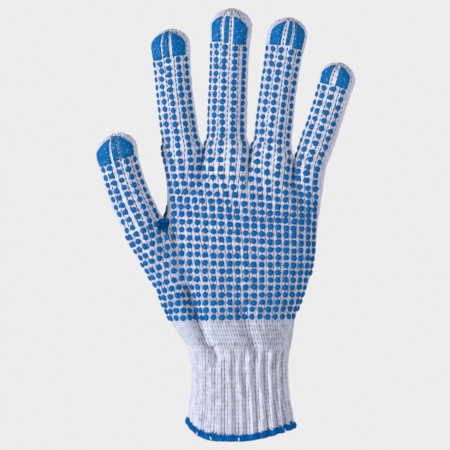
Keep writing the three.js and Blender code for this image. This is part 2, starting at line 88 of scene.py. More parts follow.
# Below the thumb's crotch: height, then how far the thumb's side, the other side and the depth have changed.
LOWER_SECTIONS = ((0, 0, 0, 0), (0.25, 0.305, 0.185, 0.45), (0.5, 0.5, 0.616, 0.75),
                  (0.75, 0.752, 0.907, 0.92), (1, 1, 1, 1))
# Above it: height, and how far the index finger's side stands in from a straight line.
UPPER_SECTIONS = ((0, 0), (0.12, 0.034), (0.4, 0.045), (0.75, 0.026), (1, 0))
# Folds: across and up at the start, the same at the end, depth and breadth, all shares.
FOLDS = ((-0.18, 0.98, 0.06, 0.36, 0.07, 0.16), (0.0, 0.42, 0.24, -0.1, 0.21, 0.11),
         (0.53, 0.27, 0.66, -0.06, 0.095, 0.1))
FOLD_FADE = 3  # the folds fade out over a third of the height below the crotch
FOLD_LIMIT = 0.6  # of the half depth at that place


def finger_sizes(row):
    """One finger's row of shares turned into millimetres."""
    size = dict(zip(FINGER_COLUMNS, row))
    for name, whole in (("base", HAND_BREADTH), ("width", HAND_BREADTH), ("depth", FINGER_DEPTH),
                        ("length", FINGER_LENGTH), ("bow", FINGER_LENGTH), ("curl", FINGER_LENGTH)):
        size[name] *= whole
    return size


THUMB, *FINGERS = [finger_sizes(row) for row in FINGER_TABLE]


def mix(a, b, share):
    """The value that lies a share of the way from a to b."""
    return a + (b - a) * share


def ease(share):
    """A share that leaves 0 and reaches 1 with no slope: 3 t squared less 2 t cubed."""
    return share * share * (3 - 2 * share)


def turned(degrees):
    """The cosine and sine of an angle in degrees."""
    return np.array([math.cos(math.radians(degrees)), math.sin(math.radians(degrees))])


def along(table, column, share):
    """A smooth cubic through one column of a table, with the slope at each row of its two neighbours."""
    n = 1
    while n < len(table) - 1 and share > table[n][0]:
        n += 1
    a, b = table[n - 1], table[n]
    before, after = table[max(0, n - 2)], table[min(len(table) - 1, n + 1)]
    span = b[0] - a[0]
    slope_a = (b[column] - before[column]) / (b[0] - before[0]) * span
    slope_b = (after[column] - a[column]) / (after[0] - a[0]) * span
    t = (share - a[0]) / span
    return ((2 * t**3 - 3 * t**2 + 1) * a[column] + (t**3 - 2 * t**2 + t) * slope_a
            + (3 * t**2 - 2 * t**3) * b[column] + (t**3 - t**2) * slope_b)


def even_oval(flatness, share):
    """Half of a flattened oval walked evenly: how far across and how high (0 to 1) at shares of its way."""
    angle = np.linspace(0, math.pi, OVAL_POINTS)
    across = 0.5 - 0.5 * np.sign(np.cos(angle)) * np.abs(np.cos(angle)) ** (2 / OVAL_POWER)
    height = np.abs(np.sin(angle)) ** (2 / OVAL_POWER)
    height[-1] = 0
    walked = np.concatenate([[0], np.cumsum(np.hypot(np.diff(across), np.diff(height) * 0.5 * flatness))])
    goal = np.clip(share, 0, 1) * walked[-1]
    return np.interp(goal, walked, across), np.interp(goal, walked, height)


def even_round(share):
    """The same for half of a round section: across by the cosine, height by the sine."""
    return 0.5 - 0.5 * np.cos(math.pi * share), np.sin(math.pi * share)


knuckles = [np.array([KNUCKLE_LEFT, KNUCKLE_HEIGHT])]
for finger in FINGERS:
    knuckles.append(knuckles[-1] + finger["base"] * turned(finger["base_tilt"]))
thumb_crotch = np.array([KNUCKLE_LEFT + THUMB_CROTCH_INSET, THUMB_CROTCH_HEIGHT])
thumb_outer = thumb_crotch - THUMB["base"] * turned(THUMB["base_tilt"])
knuckle_drop = knuckles[0][1] - knuckles[4][1]
palm_outer = np.array([knuckles[4][0] - PALM_TAPER, THUMB_CROTCH_HEIGHT - PALM_OUTER_DROP * knuckle_drop])
wrist_left = np.array([WRIST_OFFSET - WRIST_BREADTH / 2, CUFF_TOP])
wrist_right = np.array([WRIST_OFFSET + WRIST_BREADTH / 2, CUFF_TOP])
FINGER_WALES = sum(finger["wales"] for finger in FINGERS)
ALL_WALES = FINGER_WALES + THUMB["wales"]
STARTS = np.cumsum([0] + [finger["wales"] for finger in FINGERS])


def divided(distance, from_crotch):
    """How far the section has divided: a quarter circle at a crotch's own wale, an ease in mid-finger."""
    web = np.clip(1 - distance / WEB_DEPTH, 0, 1)
    root = np.clip(1 - distance / ROOT_BLEND, 0, 1)
    return mix(1 - np.sqrt(1 - web * web), ease(root), ease(np.clip(from_crotch, 0, 1)))


def root_forward(wale, v):
    """How far the middle surface stands forward at the thumb's root."""
    return -THENAR * v**THENAR_RISE * (1 - ease(np.clip(wale / (THENAR_REACH * THUMB["wales"]), 0, 1)))


def on_heel(across, up):
    """The point at shares of the wrist's breadth and of the height from the cuff to the thumb's crotch."""
    return np.array([mix(wrist_left[0], wrist_right[0], across), mix(CUFF_TOP, THUMB_CROTCH_HEIGHT, up)])


def fold_depth(x, z):
    """How far the palm side is pressed in: a bell curve round each fold's straight line."""
    pressed = np.zeros_like(x)
    for from_across, from_up, to_across, to_up, depth, breadth in FOLDS:
        start = on_heel(from_across, from_up)
        run = on_heel(to_across, to_up) - start
        share = np.clip(((x - start[0]) * run[0] + (z - start[1]) * run[1]) / (run @ run), 0, 1)
        away = np.hypot(x - start[0] - share * run[0], z - start[1] - share * run[1])
        pressed += depth * PALM_DEPTH * np.exp(-(away / (breadth * PALM_DEPTH))**2)
    return pressed


def lower_row(v, wale, side):
    """Points of one course between the cuff (v 0) and the thumb's crotch (v 1), palm side -1, back +1."""
    thumb_side, far_side, thinned = (along(LOWER_SECTIONS, column, v) for column in (1, 2, 3))
    left = np.array([mix(wrist_left[0], thumb_outer[0], thumb_side), mix(wrist_left[1], thumb_outer[1], v)])
    right = np.array([mix(wrist_right[0], palm_outer[0], far_side), mix(wrist_right[1], palm_outer[1], v)])
    depth = mix(WRIST_DEPTH, PALM_DEPTH, thinned)
    whole_across, whole_height = even_oval(depth / (right[0] - left[0]), wale / ALL_WALES)
    start_across, _ = even_oval(WRIST_DEPTH / WRIST_BREADTH, np.array([THUMB["wales"] / ALL_WALES]))
    seam = mix(mix(wrist_left, wrist_right, start_across[0]), thumb_crotch, v)
    in_thumb = wale <= THUMB["wales"]
    u = np.clip(wale / THUMB["wales"], 0, 1)
    share = np.clip((wale - THUMB["wales"]) / FINGER_WALES, 0, 1)
    thumb_across, thumb_height = even_round(u)
    palm_across, palm_height = even_oval(PALM_DEPTH / (palm_outer[0] - thumb_crotch[0]), share)
    part = np.where(in_thumb[:, None], mix(left, seam, thumb_across[:, None]),
                    mix(seam, right, palm_across[:, None]))
    place = mix(mix(left, right, whole_across[:, None]), part, ease(v))
    rise = (1 - v) * HEEL_HEIGHT
    passed = divided(rise, np.where(in_thumb, 2 * (1 - u), share / PALM_EASE))
    part_half = np.where(in_thumb, THUMB["depth"] / 2 * FINGER_SECTIONS[0][2] * thumb_height,
                         PALM_DEPTH / 2 * palm_height)
    half = mix(depth / 2 * whole_height, part_half, passed)
    if side < 0:
        pressed = fold_depth(place[:, 0], place[:, 1]) * ease(min(1, FOLD_FADE * (1 - v)))
        half = half - np.minimum(pressed, FOLD_LIMIT * half)
    return np.stack([place[:, 0], root_forward(wale, v) + side * half, place[:, 1]], axis=1)


def upper_row(v, wale, side):
    """Points of one course between the thumb's crotch (v 0) and the row of finger crotches (v 1)."""
    left = mix(thumb_crotch, knuckles[0], v) + np.array([along(UPPER_SECTIONS, 1, v) * WRIST_BREADTH, 0])
    right = mix(palm_outer, knuckles[4], v)
    flatness = PALM_DEPTH / (palm_outer[0] - thumb_crotch[0])
    whole_across, whole_height = even_oval(flatness, wale / FINGER_WALES)
    crotch_across, _ = even_oval(flatness, STARTS / FINGER_WALES)
    edges = [mix(mix(thumb_crotch, palm_outer, crotch_across[i]), knuckles[i], v) for i in range(5)]
    edges[0], edges[4] = left, right
    edges = np.array(edges)
    index = np.clip(np.searchsorted(STARTS, wale, side="right") - 1, 0, 3)
    wales = np.array([finger["wales"] for finger in FINGERS])[index]
    u = (wale - STARTS[index]) / wales
    across, height = even_round(u)
    part = mix(edges[index], edges[index + 1], across[:, None])
    place = mix(mix(left, right, whole_across[:, None]), part, ease(v))
    from_crotch = np.minimum(np.where(index == 0, 1, 2 * u), np.where(index == 3, 1, 2 * (1 - u)))
    passed = divided((1 - v) * PALM_HEIGHT, from_crotch)
    root = np.array([finger["depth"] / 2 * FINGER_SECTIONS[0][2] for finger in FINGERS])[index]
    half = mix(mix(PALM_DEPTH, KNUCKLE_DEPTH, v) / 2 * whole_height, root * height, passed)
    if side < 0:
        valley = np.exp(-((wale[:, None] - STARTS[1:4]) / VALLEY_WALES)**2).sum(axis=1)
        half = half * (1 - VALLEY_DEPTH * valley * ease(max(0, 1 - (1 - v) * PALM_HEIGHT / VALLEY_LENGTH)))
    middle = root_forward(THUMB["wales"] + wale, 1) * (1 - ease(v))
    return np.stack([place[:, 0], middle + side * half, place[:, 1]], axis=1)


def finger_row(finger, ends, distance, wale, side):
    """Points of one course, a distance up a finger: round sections on a bowed, curled axis, then a dome."""
    dome = TIP_DOME * finger["width"]
    body = finger["length"] - dome
    angle = max(0, (distance - body) / dome)
    height = min(distance, body) + dome * math.sin(angle)
    share = height / finger["length"]
    upright = turned(90 - finger["lean"])
    bowed = finger["bow"] * 4 * share * (1 - share)
    centre = mix(ends[0], ends[1], 0.5) + height * upright + bowed * np.array([upright[1], -upright[0]])
    settled = ease(min(1, max(0, height / (ROOT_SETTLES * finger["width"]))))
    breadth = mix(finger["base"], finger["width"] * along(FINGER_SECTIONS, 1, share), settled)
    across, high = even_round(wale / finger["wales"])
    tilt = turned(mix(finger["base_tilt"], -finger["lean"], settled))
    place = centre + ((across - 0.5) * breadth * math.cos(angle))[:, None] * tilt
    half = finger["depth"] / 2 * along(FINGER_SECTIONS, 2, share) * high * math.cos(angle)
    middle = -finger["curl"] * max(0, share)**CURL_POWER * np.ones_like(wale)
    if finger is THUMB:
        middle = middle + mix(root_forward(wale, 1), root_forward(0.5 * THUMB["wales"], 1), settled)
    return np.stack([place[:, 0], middle + side * half, place[:, 1]], axis=1)


# The knitted cloth: a field of points on the wall's outer face, four to a wale and four to a course,
# ring by ring round palm side and back, with the way it faces and the breadth of a wale at each point.
FINE = 4  # points to a wale and to a course
COURSE = 2.7  # height of a course
READ_PAST = 0.4  # courses past its ends that a cloth can be read
YARN_PAST = 0.36  # courses that the last loops reach past the end
CROTCH_WALES = 2.5  # wales beside a crotch over which they draw in


def cloth(rows, wales, crotches=(), past=YARN_PAST):
    """Rings of points, from one function per course line that takes wales and side, with their normals, and
    how many courses past the last one a column may be read: none beside a crotch, where the fabric turns
    in."""
    wale = np.arange(0, wales, 1 / FINE)
    points = np.array([np.concatenate([row(wale, -1), row(wales - wale, 1)]) for row in rows])
    around = np.roll(points, -1, axis=1) - np.roll(points, 1, axis=1)
    normals = np.cross(around, np.gradient(points, axis=0))
    length = np.linalg.norm(normals, axis=2, keepdims=True)
    normals = normals / np.maximum(length, 1e-9)
    normals[-1] = np.where(length[-1] < 1e-6, normals[-2], normals[-1])
    pitch = np.linalg.norm(around, axis=2, keepdims=True) * FINE / 2
    column = np.arange(points.shape[1]) / FINE
    front = np.minimum(column, 2 * wales - column)
    beyond = np.full(len(front), past)
    for crotch in crotches:
        beyond = np.minimum(beyond, past * np.clip(np.abs(front - crotch) / CROTCH_WALES, 0, 1))
    return {"points": points, "normals": normals, "pitch": pitch, "courses": (len(rows) - 1) / FINE,
            "beyond": np.array([beyond, beyond])[..., None], "wales": 2 * wales}


def sample(cloth_field, name, course, wale):
    """One field of a cloth read between its points by straight lines; rings close on themselves."""
    field = cloth_field[name]
    row = np.clip(course * FINE, -READ_PAST * FINE, (cloth_field["courses"] + READ_PAST) * FINE)
    column = wale * FINE
    r0 = np.clip(np.floor(row), 0, len(field) - 2).astype(int)
    c0 = np.floor(column).astype(int)
    fr = (row - r0)[..., None]
    fc = (column - c0)[..., None]
    count = field.shape[1]
    low = mix(field[r0, c0 % count], field[r0, (c0 + 1) % count], fc)
    high = mix(field[r0 + 1, c0 % count], field[r0 + 1, (c0 + 1) % count], fc)
    return mix(low, high, fr)


def unit(vectors):
    """Vectors brought to length one."""
    return vectors / np.maximum(np.linalg.norm(vectors, axis=-1, keepdims=True), 1e-9)


LOWER_COURSES = round(HEEL_HEIGHT / COURSE)
UPPER_COURSES = round(PALM_HEIGHT / COURSE) + 1
lower_lines = [lambda w, s, v=v: lower_row(v, w, s) for v in np.linspace(0, 1, LOWER_COURSES * FINE + 1)]
upper_lines = [lambda w, s, v=v: upper_row(v, w, s) for v in np.linspace(0, 1, UPPER_COURSES * FINE + 1)]
lower_cloth = cloth(lower_lines, ALL_WALES, (THUMB["wales"],))
upper_cloth = cloth(upper_lines, FINGER_WALES, STARTS[1:4])

# Knit yarn: one soft cotton yarn runs round each course in loops, whose legs show outside as the
# V stitches and whose heads and feet lie behind, hooked through the courses above and below.
LOOP_STEPS = 10
LOOP_SIDES = 4
LOOP_HEIGHT = 0.86  # half height of a loop, in courses
LOOP_BULGE = 0.045  # wales by which the head is wider
LOOP_GATHER = 0.075  # wales by which the legs draw together
YARN_SPREAD = 0.205  # half breadth of the yarn, as a share of a wale
YARN_HEIGHT = 0.52  # half thickness of the yarn
YARN_SINK = 0.33  # half of how far heads and feet lie behind the legs
YARN_LIMITS = (0.16, 0.8)  # least and most half breadth
FULL_WALE = 1.6  # below this breadth of a wale the yarn gets thinner
SLIMMEST = 0.35  # as a share of the full thickness
SWELL = 0.12  # unevenness from loop to loop: of the yarn's thickness
STRAY = 0.08  # up and down, in courses
LIFT = 0.07  # and out and in
BACKING_OUT = -1.3  # outer and inner face of the inner wall, from the cloth
BACKING_IN = -1.8
chance = np.random.default_rng(7)


def tube(centre, across, up):
    """Closed tubes round paths: each point of a path gets a flattened section of LOOP_SIDES corners."""
    angle = np.arange(LOOP_SIDES) * 2 * math.pi / LOOP_SIDES
    rings = (centre[..., None, :] + across[..., None, :] * np.cos(angle)[:, None]
             + up[..., None, :] * np.sin(angle)[:, None])
    paths, steps = centre.shape[:2]
    j, m, s = np.meshgrid(np.arange(paths), np.arange(steps), np.arange(LOOP_SIDES), indexing="ij")

    def corner(step, side):
        return (j * steps + step % steps) * LOOP_SIDES + side % LOOP_SIDES

    quads = np.stack([corner(m, s), corner(m, s + 1), corner(m + 1, s + 1), corner(m + 1, s)], axis=-1)
    uv = np.stack([np.stack([m + a, (s + b) / LOOP_SIDES], axis=-1)
                   for a, b in ((0, 0), (0, 1), (1, 1), (1, 0))], axis=-2)
    uv = uv * np.array([1 / LOOP_STEPS, 1.0])
    return rings.reshape(-1, 3), quads.reshape(-1, 4), uv.reshape(-1, 4, 2), np.zeros(quads.size // 4, int)


def course_yarn(field, courses, loops, spread_share=YARN_SPREAD):
    """The yarn of whole courses. Along a loop's turn t the wale runs on by t plus sines of t and 2t, which
    gather the two legs into a V and bulge the head; the course runs by the cosine of t, and the depth by
    the cosine of 2t, so that legs stand out and heads lie behind."""
    turn = np.arange(loops * LOOP_STEPS) * 2 * math.pi / LOOP_STEPS
    course = np.asarray(courses, float)[:, None] + 0.5
    loop = np.floor(turn / (2 * math.pi) + 1e-9).astype(int)
    swell = (1 + SWELL * chance.standard_normal((len(course), loops)))[:, loop]
    stray = (STRAY * chance.standard_normal((len(course), loops)))[:, loop]
    lift = (LIFT * chance.standard_normal((len(course), loops)))[:, loop]
    wale = turn / (2 * math.pi) + LOOP_BULGE * np.sin(2 * turn) + LOOP_GATHER * np.sin(turn)
    wale = wale * field["wales"] / loops + 0 * course
    course = course + LOOP_HEIGHT * np.cos(turn) + stray * np.sin(turn)
    course = np.minimum(course, field["courses"] + sample(field, "beyond", 0 * course, wale)[..., 0])
    normal = unit(sample(field, "normals", course, wale))
    breadth = sample(field, "pitch", course, wale) * field["wales"] / loops
    slim = np.clip(breadth[..., 0] / FULL_WALE, SLIMMEST, 1)
    depth = (-(YARN_HEIGHT + YARN_SINK) - YARN_SINK * np.cos(2 * turn)) * slim + lift
    centre = sample(field, "points", course, wale) + normal * depth[..., None]
    forward = unit(np.roll(centre, -1, axis=1) - np.roll(centre, 1, axis=1))
    sideways = unit(np.cross(forward, normal))
    upright = np.cross(sideways, forward)
    spread = np.clip(spread_share * breadth, *YARN_LIMITS) * swell[..., None]
    return tube(centre, sideways * spread, upright * YARN_HEIGHT * slim[..., None] * swell[..., None])


def ring_quads(rings, count, width):
    """Faces from each of the given rings of a sheet to the next one, closed round its width; the ring after
    the last is the first."""
    r, c = np.meshgrid(rings, np.arange(width), indexing="ij")
    right = (c + 1) % width
    above = (r + 1) % count
    return np.stack([r * width + c, r * width + right, above * width + right, above * width + c],
                    axis=-1).reshape(-1, 4)


def plain_part(vertices, faces, slots=0):
    """A part for a piece whose material follows no yarn, with the number of its faces' material."""
    return vertices.reshape(-1, 3), faces, np.zeros((len(faces), 4, 2)), np.zeros(len(faces), int) + slots


def backing(field, first, last, tip=False):
    """The inner loops as one closed wall: the field's rings offset out and in, joined at both ends, or
    brought to a point at a fingertip. Its outer face has the second material, a painted shade for the
    shadow seen between the loops."""
    rows = np.arange(first, last + 1) * FINE
    if tip:
        rows = rows[:-1]
    columns = np.arange(0, field["points"].shape[1], FINE)
    spots = field["points"][rows][:, columns]
    faces = field["normals"][rows][:, columns]
    sheet = np.concatenate([spots + BACKING_OUT * faces, (spots + BACKING_IN * faces)[::-1]])
    count, width = sheet.shape[:2]
    top = len(rows) - 1
    joins = np.array([ring for ring in range(count) if not tip or ring != top])
    quads = ring_quads(joins, count, width)
    vertices = sheet.reshape(-1, 3)
    if tip:
        crown = field["points"][-1].mean(axis=0)
        crown_normal = unit(field["normals"][-2].mean(axis=0))
        crowns = [crown + BACKING_OUT * crown_normal, crown + BACKING_IN * crown_normal]
        c = np.arange(width)
        right = (c + 1) % width
        outer_fan = np.stack([top * width + c, top * width + right, np.full(width, len(vertices))], axis=-1)
        inner_fan = np.stack([(top + 1) * width + right, (top + 1) * width + c,
                              np.full(width, len(vertices) + 1)], axis=-1)
        fans = np.concatenate([outer_fan, inner_fan])
        vertices = np.concatenate([vertices, crowns])
        quads = np.concatenate([quads, np.column_stack([fans, -np.ones(len(fans), int)])])
    shaded = np.all((quads < len(rows) * width) | (quads == len(vertices) - 2), axis=1)
    return plain_part(vertices, quads, shaded)


def piece(name, parts, materials, replaced=()):
    """A mesh object from parts of vertices (mm), faces of four corners (a fourth of -1 is a triangle), their
    uvs and the number of each face's material."""
    vertices = np.concatenate([part[0] for part in parts]) * MM
    offset = np.cumsum([0] + [len(part[0]) for part in parts])
    faces = np.concatenate([np.where(part[1] < 0, -1, part[1] + start)
                            for part, start in zip(parts, offset)])
    uv = np.concatenate([part[2] for part in parts])
    kept = faces >= 0
    mesh = bpy.data.meshes.new(name)
    mesh.vertices.add(len(vertices))
    mesh.vertices.foreach_set("co", vertices.astype(np.float32).ravel())
    totals = kept.sum(axis=1)
    mesh.loops.add(int(totals.sum()))
    mesh.loops.foreach_set("vertex_index", faces[kept].astype(np.int32))
    mesh.polygons.add(len(faces))
    mesh.polygons.foreach_set("loop_start", np.concatenate([[0], np.cumsum(totals)[:-1]]).astype(np.int32))
    mesh.polygons.foreach_set("loop_total", totals.astype(np.int32))
    mesh.update(calc_edges=True)
    layer = mesh.uv_layers.new(name="yarn")
    layer.data.foreach_set("uv", uv[kept].astype(np.float32).ravel())
    mesh.polygons.foreach_set("use_smooth", np.full(len(faces), True))
    for material in materials:
        mesh.materials.append(material)
    mesh.polygons.foreach_set("material_index", np.concatenate([part[3] for part in parts]).astype(np.int32))
    built = bpy.data.objects.new(name, mesh)
    bpy.context.scene.collection.objects.link(built)
    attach(built, "root")
    if replaced:
        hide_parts(*replaced)


def group(name, inputs):
    """An empty shader node group with named number inputs and one number for its result."""
    made = bpy.data.node_groups.new(name, "ShaderNodeTree")
    for label, default in inputs:
        socket = made.interface.new_socket(label, in_out="INPUT", socket_type="NodeSocketFloat")
        socket.default_value = default
    made.interface.new_socket("Result", in_out="OUTPUT", socket_type="NodeSocketFloat")
    enter = made.nodes.new("NodeGroupInput")
    leave = made.nodes.new("NodeGroupOutput")
    return made, enter, leave


# Cloudiness: patches a little lighter and darker, from noise on the object's own coordinates.
cloud, enter, leave = group("cloudiness", (("Scale", 90.0), ("Low", 0.0), ("High", 1.0)))
spot = cloud.nodes.new("ShaderNodeTexCoord")
noise = cloud.nodes.new("ShaderNodeTexNoise")
noise.inputs["Detail"].default_value = 4.0
spread = cloud.nodes.new("ShaderNodeMapRange")
spread.inputs["From Min"].default_value = 0.3
spread.inputs["From Max"].default_value = 0.7
cloud.links.new(spot.outputs["Object"], noise.inputs["Vector"])
cloud.links.new(enter.outputs["Scale"], noise.inputs["Scale"])
cloud.links.new(noise.outputs["Fac"], spread.inputs["Value"])
cloud.links.new(enter.outputs["Low"], spread.inputs["To Min"])
cloud.links.new(enter.outputs["High"], spread.inputs["To Max"])
cloud.links.new(spread.outputs["Result"], leave.inputs["Result"])


def maths(tree, operation, first, second=None):
    """A Math node fed by one or two sockets or numbers; returns its output."""
    node = tree.nodes.new("ShaderNodeMath")
    node.operation = operation
    for slot_index, value in enumerate((first, second)):
        if isinstance(value, (int, float)):
            node.inputs[slot_index].default_value = value
        elif value is not None:
            tree.links.new(value, node.inputs[slot_index])
    return node.outputs["Value"]


# Strands: the ridges of a yarn's twisted strands, a sine across the yarn that shifts along it.
strands, enter, leave = group("strands", (("Count", 5.0), ("Twist", 2.0)))
yarn_map = strands.nodes.new("ShaderNodeUVMap")
yarn_map.uv_map = "yarn"
yarn_place = strands.nodes.new("ShaderNodeSeparateXYZ")
strands.links.new(yarn_map.outputs["UV"], yarn_place.inputs["Vector"])
around_turns = maths(strands, "MULTIPLY", yarn_place.outputs["Y"], enter.outputs["Count"])
along_turns = maths(strands, "MULTIPLY", yarn_place.outputs["X"], enter.outputs["Twist"])
strand_angle = maths(strands, "MULTIPLY", maths(strands, "ADD", around_turns, along_turns), 2 * math.pi)
strands.links.new(maths(strands, "SINE", strand_angle), leave.inputs["Result"])


def shader(name, roughness, values=()):
    """A Principled material, its roughness and any other numbers set on the shader's own sockets."""
    material = bpy.data.materials.new(name)
    material.use_nodes = True
    principled = material.node_tree.nodes["Principled BSDF"]
    principled.inputs["Roughness"].default_value = roughness
    for socket, value in values:
        principled.inputs[socket].default_value = value
    return material, material.node_tree, principled


def use_group(tree, made, values):
    """A group node placed in a material with its own numbers; returns its output."""
    node = tree.nodes.new("ShaderNodeGroup")
    node.node_tree = made
    for label, value in values:
        node.inputs[label].default_value = value
    return node.outputs["Result"]


def blend_colours(tree, share, low, high):
    """Two plain colours mixed by a mask; returns the colour."""
    node = tree.nodes.new("ShaderNodeMix")
    node.data_type = "RGBA"
    tree.links.new(share, node.inputs["Factor"])
    node.inputs["A"].default_value = (*low, 1.0)
    node.inputs["B"].default_value = (*high, 1.0)
    return node.outputs["Result"]


def fine_noise(tree, scale):
    """Noise on object coordinates; returns its strength from 0 to 1."""
    place = tree.nodes.new("ShaderNodeTexCoord")
    node = tree.nodes.new("ShaderNodeTexNoise")
    node.inputs["Scale"].default_value = scale
    tree.links.new(place.outputs["Object"], node.inputs["Vector"])
    return node.outputs["Fac"]


def bump(tree, principled, height, distance):
    """A Bump node of a height in metres on the shader's normal."""
    node = tree.nodes.new("ShaderNodeBump")
    node.inputs["Distance"].default_value = distance
    tree.links.new(height, node.inputs["Height"])
    tree.links.new(node.outputs["Normal"], principled.inputs["Normal"])


# Cotton: noise cells to a metre for its fibres, its sheen, and how high the strands and fibres stand.
COTTON_FUZZ = 2600.0
COTTON_SHEEN = 0.1
YARN_RELIEF = 0.09 * MM
STRAND_SHARE = 0.5
FIBRE_SHARE = 1.6


def yarn_material(name, low, high, fuzz, sheen):
    """Spun yarn: two close colours in patches, ridges of twisted strands and fine fibres."""
    material, tree, principled = shader(name, 0.95, (("Specular IOR Level", 0.02), ("Sheen Weight", sheen)))
    mask = use_group(tree, cloud, (("Scale", 260.0),))
    tree.links.new(blend_colours(tree, mask, low, high), principled.inputs["Base Color"])
    ridges = use_group(tree, strands, (("Count", 6.0), ("Twist", 3.0)))
    ridges = maths(tree, "MULTIPLY", ridges, STRAND_SHARE)
    fibres = maths(tree, "MULTIPLY", fine_noise(tree, fuzz), FIBRE_SHARE)
    bump(tree, principled, maths(tree, "ADD", ridges, fibres), YARN_RELIEF)
    return material


knit_yarn = yarn_material("knit_yarn", (0.59, 0.62, 0.74), (0.75, 0.775, 0.90), COTTON_FUZZ, COTTON_SHEEN)
# Painted shade: the inner wall's outer face is dark purple-brown for the shadow seen between the loops.
knit_painted_shade = yarn_material("knit_painted_shade", (0.13, 0.095, 0.13), (0.22, 0.18, 0.23), COTTON_FUZZ, 0.0)
KNIT = (knit_yarn, knit_painted_shade)

# Palm and back of the hand: 110 wales below the thumb's crotch, 88 above it, knitted in one with the
# webs. Three bands of courses keep each piece light.
HEEL_COURSES = 13  # the lowest band


def knit(field, first, last):
    """A band of knit from one course up to another, one loop to a wale: its yarn and its inner wall."""
    return [course_yarn(field, np.arange(first, last), field["wales"]), backing(field, first, last)]


piece("heel_knit", knit(lower_cloth, 0, HEEL_COURSES), KNIT, ("palm_body",))
piece("palm_knit", knit(lower_cloth, HEEL_COURSES, LOWER_COURSES), KNIT, ("palm_body",))
piece("knuckle_knit", knit(upper_cloth, 0, UPPER_COURSES), KNIT, ("palm_body",))

# Fingers and thumb: tubes of 20 to 24 wales, closed at the tip by courses that lose their loops. Each row
# of the table gives the least cosine of the dome's angle and the share of the loops that are left there.
TIP_LOOPS = ((0.72, 1.0), (0.42, 0.5), (0.0, 0.25))
FINGER_SPREAD = 0.178  # finer yarn than the palm's
tips = {}
for order, finger in enumerate([THUMB] + FINGERS):
    ends = (thumb_outer, thumb_crotch) if order == 0 else (knuckles[order - 1], knuckles[order])
    dome = TIP_DOME * finger["width"]
    body = finger["length"] - dome
    meridian = body + 0.5 * math.pi * dome
    courses = round(meridian / COURSE)
    lines = [lambda w, s, d=d, f=finger, e=ends: finger_row(f, e, d, w, s)
             for d in np.linspace(0, meridian, courses * FINE + 1)]
    field = cloth(lines, finger["wales"], past=0.0)
    tips[finger["name"]] = {"finger": finger, "field": field, "meridian": meridian, "body": body,
                            "dome": dome}
    parts = []
    for course in range(courses):
        angle = max(0, ((course + 0.5) / courses * meridian - body) / dome)
        share = next(loops for least, loops in TIP_LOOPS if math.cos(angle) >= least)
        parts.append(course_yarn(field, [course], int(field["wales"] * share), FINGER_SPREAD))
    parts.append(backing(field, 0, courses, tip=True))
    piece(finger["name"] + "_knit", parts, KNIT, (finger["name"],))

# Ribbed cuff: 26 ribs of three plain wales with a sunk one between, drawn in at the wrist, in the same
# yarn knitted tighter. The thumb's side of the front is stretched flat, so its furrows are shallow.
RIBS = 26
RIB_WALES = 4  # with the sunk one
CUFF_WALES = RIBS * RIB_WALES
CUFF_COURSES = 21
CUFF_YARN_PAST = 0.3
RIB_FURROW = 1.3  # depth of a furrow, times a factor
DEEP_FURROW = 1.8  # the factor where the cuff isn't stretched
STRETCHED_LOSS = 1.35  # and what it loses where the cuff is
STRETCH_SLOPE = 1.2
FURROW_FADE = 8  # furrows fade over an eighth of the height below the palm
RIB_SWAY = 0.1  # ribs by which they waver round the cuff
SWAY_WAVES = 3
RIB_SHIFT = 0.05  # and all together
HEM_DIP = 9.5  # how far the hem rises at the thumb's side
HEM_DIP_POWER = 5
HEM_SLOPE = 6.9  # how far it rises, more evenly, to the little finger's side
HEM_SLOPE_POWER = 1.5
HEM_HEIGHT = 4.4
HEM_THICKNESS = 1.2
CUFF_WALL = 2.2
JOIN_GAP = 0.3
# Sections of the cuff: height, breadth and depth, as shares of its height and of the wrist.
CUFF_SECTIONS = ((0, 1.035, 1.08), (0.12, 1.022, 1.04), (0.2, 1.005, 1.01), (0.35, 0.97, 0.98),
                 (0.6, 0.942, 0.96), (0.85, 0.955, 0.97), (1, 1, 1))


def cuff_ring(share, turns, offset=0.0, lift=HEM_THICKNESS + JOIN_GAP):
    """A ring of the cuff at a share of its height: an oval walked evenly, pressed in by a cosine at each
    furrow, which sways with the height, and by the palm's folds. The lower edge rises by powers of the
    distance from the middle, steeply at the thumb's side and more evenly at the other."""
    breadth = WRIST_BREADTH * along(CUFF_SECTIONS, 1, share)
    depth = WRIST_DEPTH * along(CUFF_SECTIONS, 2, share)
    t = 2 * (turns % 1.0)
    across, high = even_oval(depth / breadth, np.where(t < 1, t, 2 - t))
    flat = np.stack([(across - 0.5) * breadth, np.where(t < 1, -1, 1) * depth / 2 * high], axis=-1)
    run = unit(np.roll(flat, -1, axis=0) - np.roll(flat, 1, axis=0))
    sway = RIB_SWAY * math.sin(5 * share + 1) * np.sin(2 * math.pi * SWAY_WAVES * turns)
    sway = sway + RIB_SHIFT * math.sin(11 * share)
    furrow = 0.5 + 0.5 * np.cos(2 * math.pi * (RIBS * turns + sway))
    in_front = flat[:, 1] < 0
    stretched = ease(np.clip(0.5 - STRETCH_SLOPE * flat[:, 0] / breadth, 0, 1)) * in_front
    pressed = RIB_FURROW * furrow * (DEEP_FURROW - STRETCHED_LOSS * stretched)
    pressed = pressed * ease(min(1, FURROW_FADE * (1 - share)))
    level = np.full(len(turns), mix(0.0, CUFF_TOP, share))
    pressed = pressed + fold_depth(flat[:, 0] + WRIST_OFFSET * share, level) * in_front * (high > 0.5)
    moved = flat + np.stack([run[:, 1], -run[:, 0]], axis=-1) * (offset - pressed)[:, None]
    aside = np.abs(2 * flat[:, 0] / breadth)
    edge = np.where(flat[:, 0] < 0, HEM_DIP * aside**HEM_DIP_POWER, HEM_SLOPE * aside**HEM_SLOPE_POWER)
    height = mix(edge + lift, CUFF_TOP - JOIN_GAP, share)
    return np.stack([moved[:, 0] + WRIST_OFFSET * share, moved[:, 1], height], axis=-1)


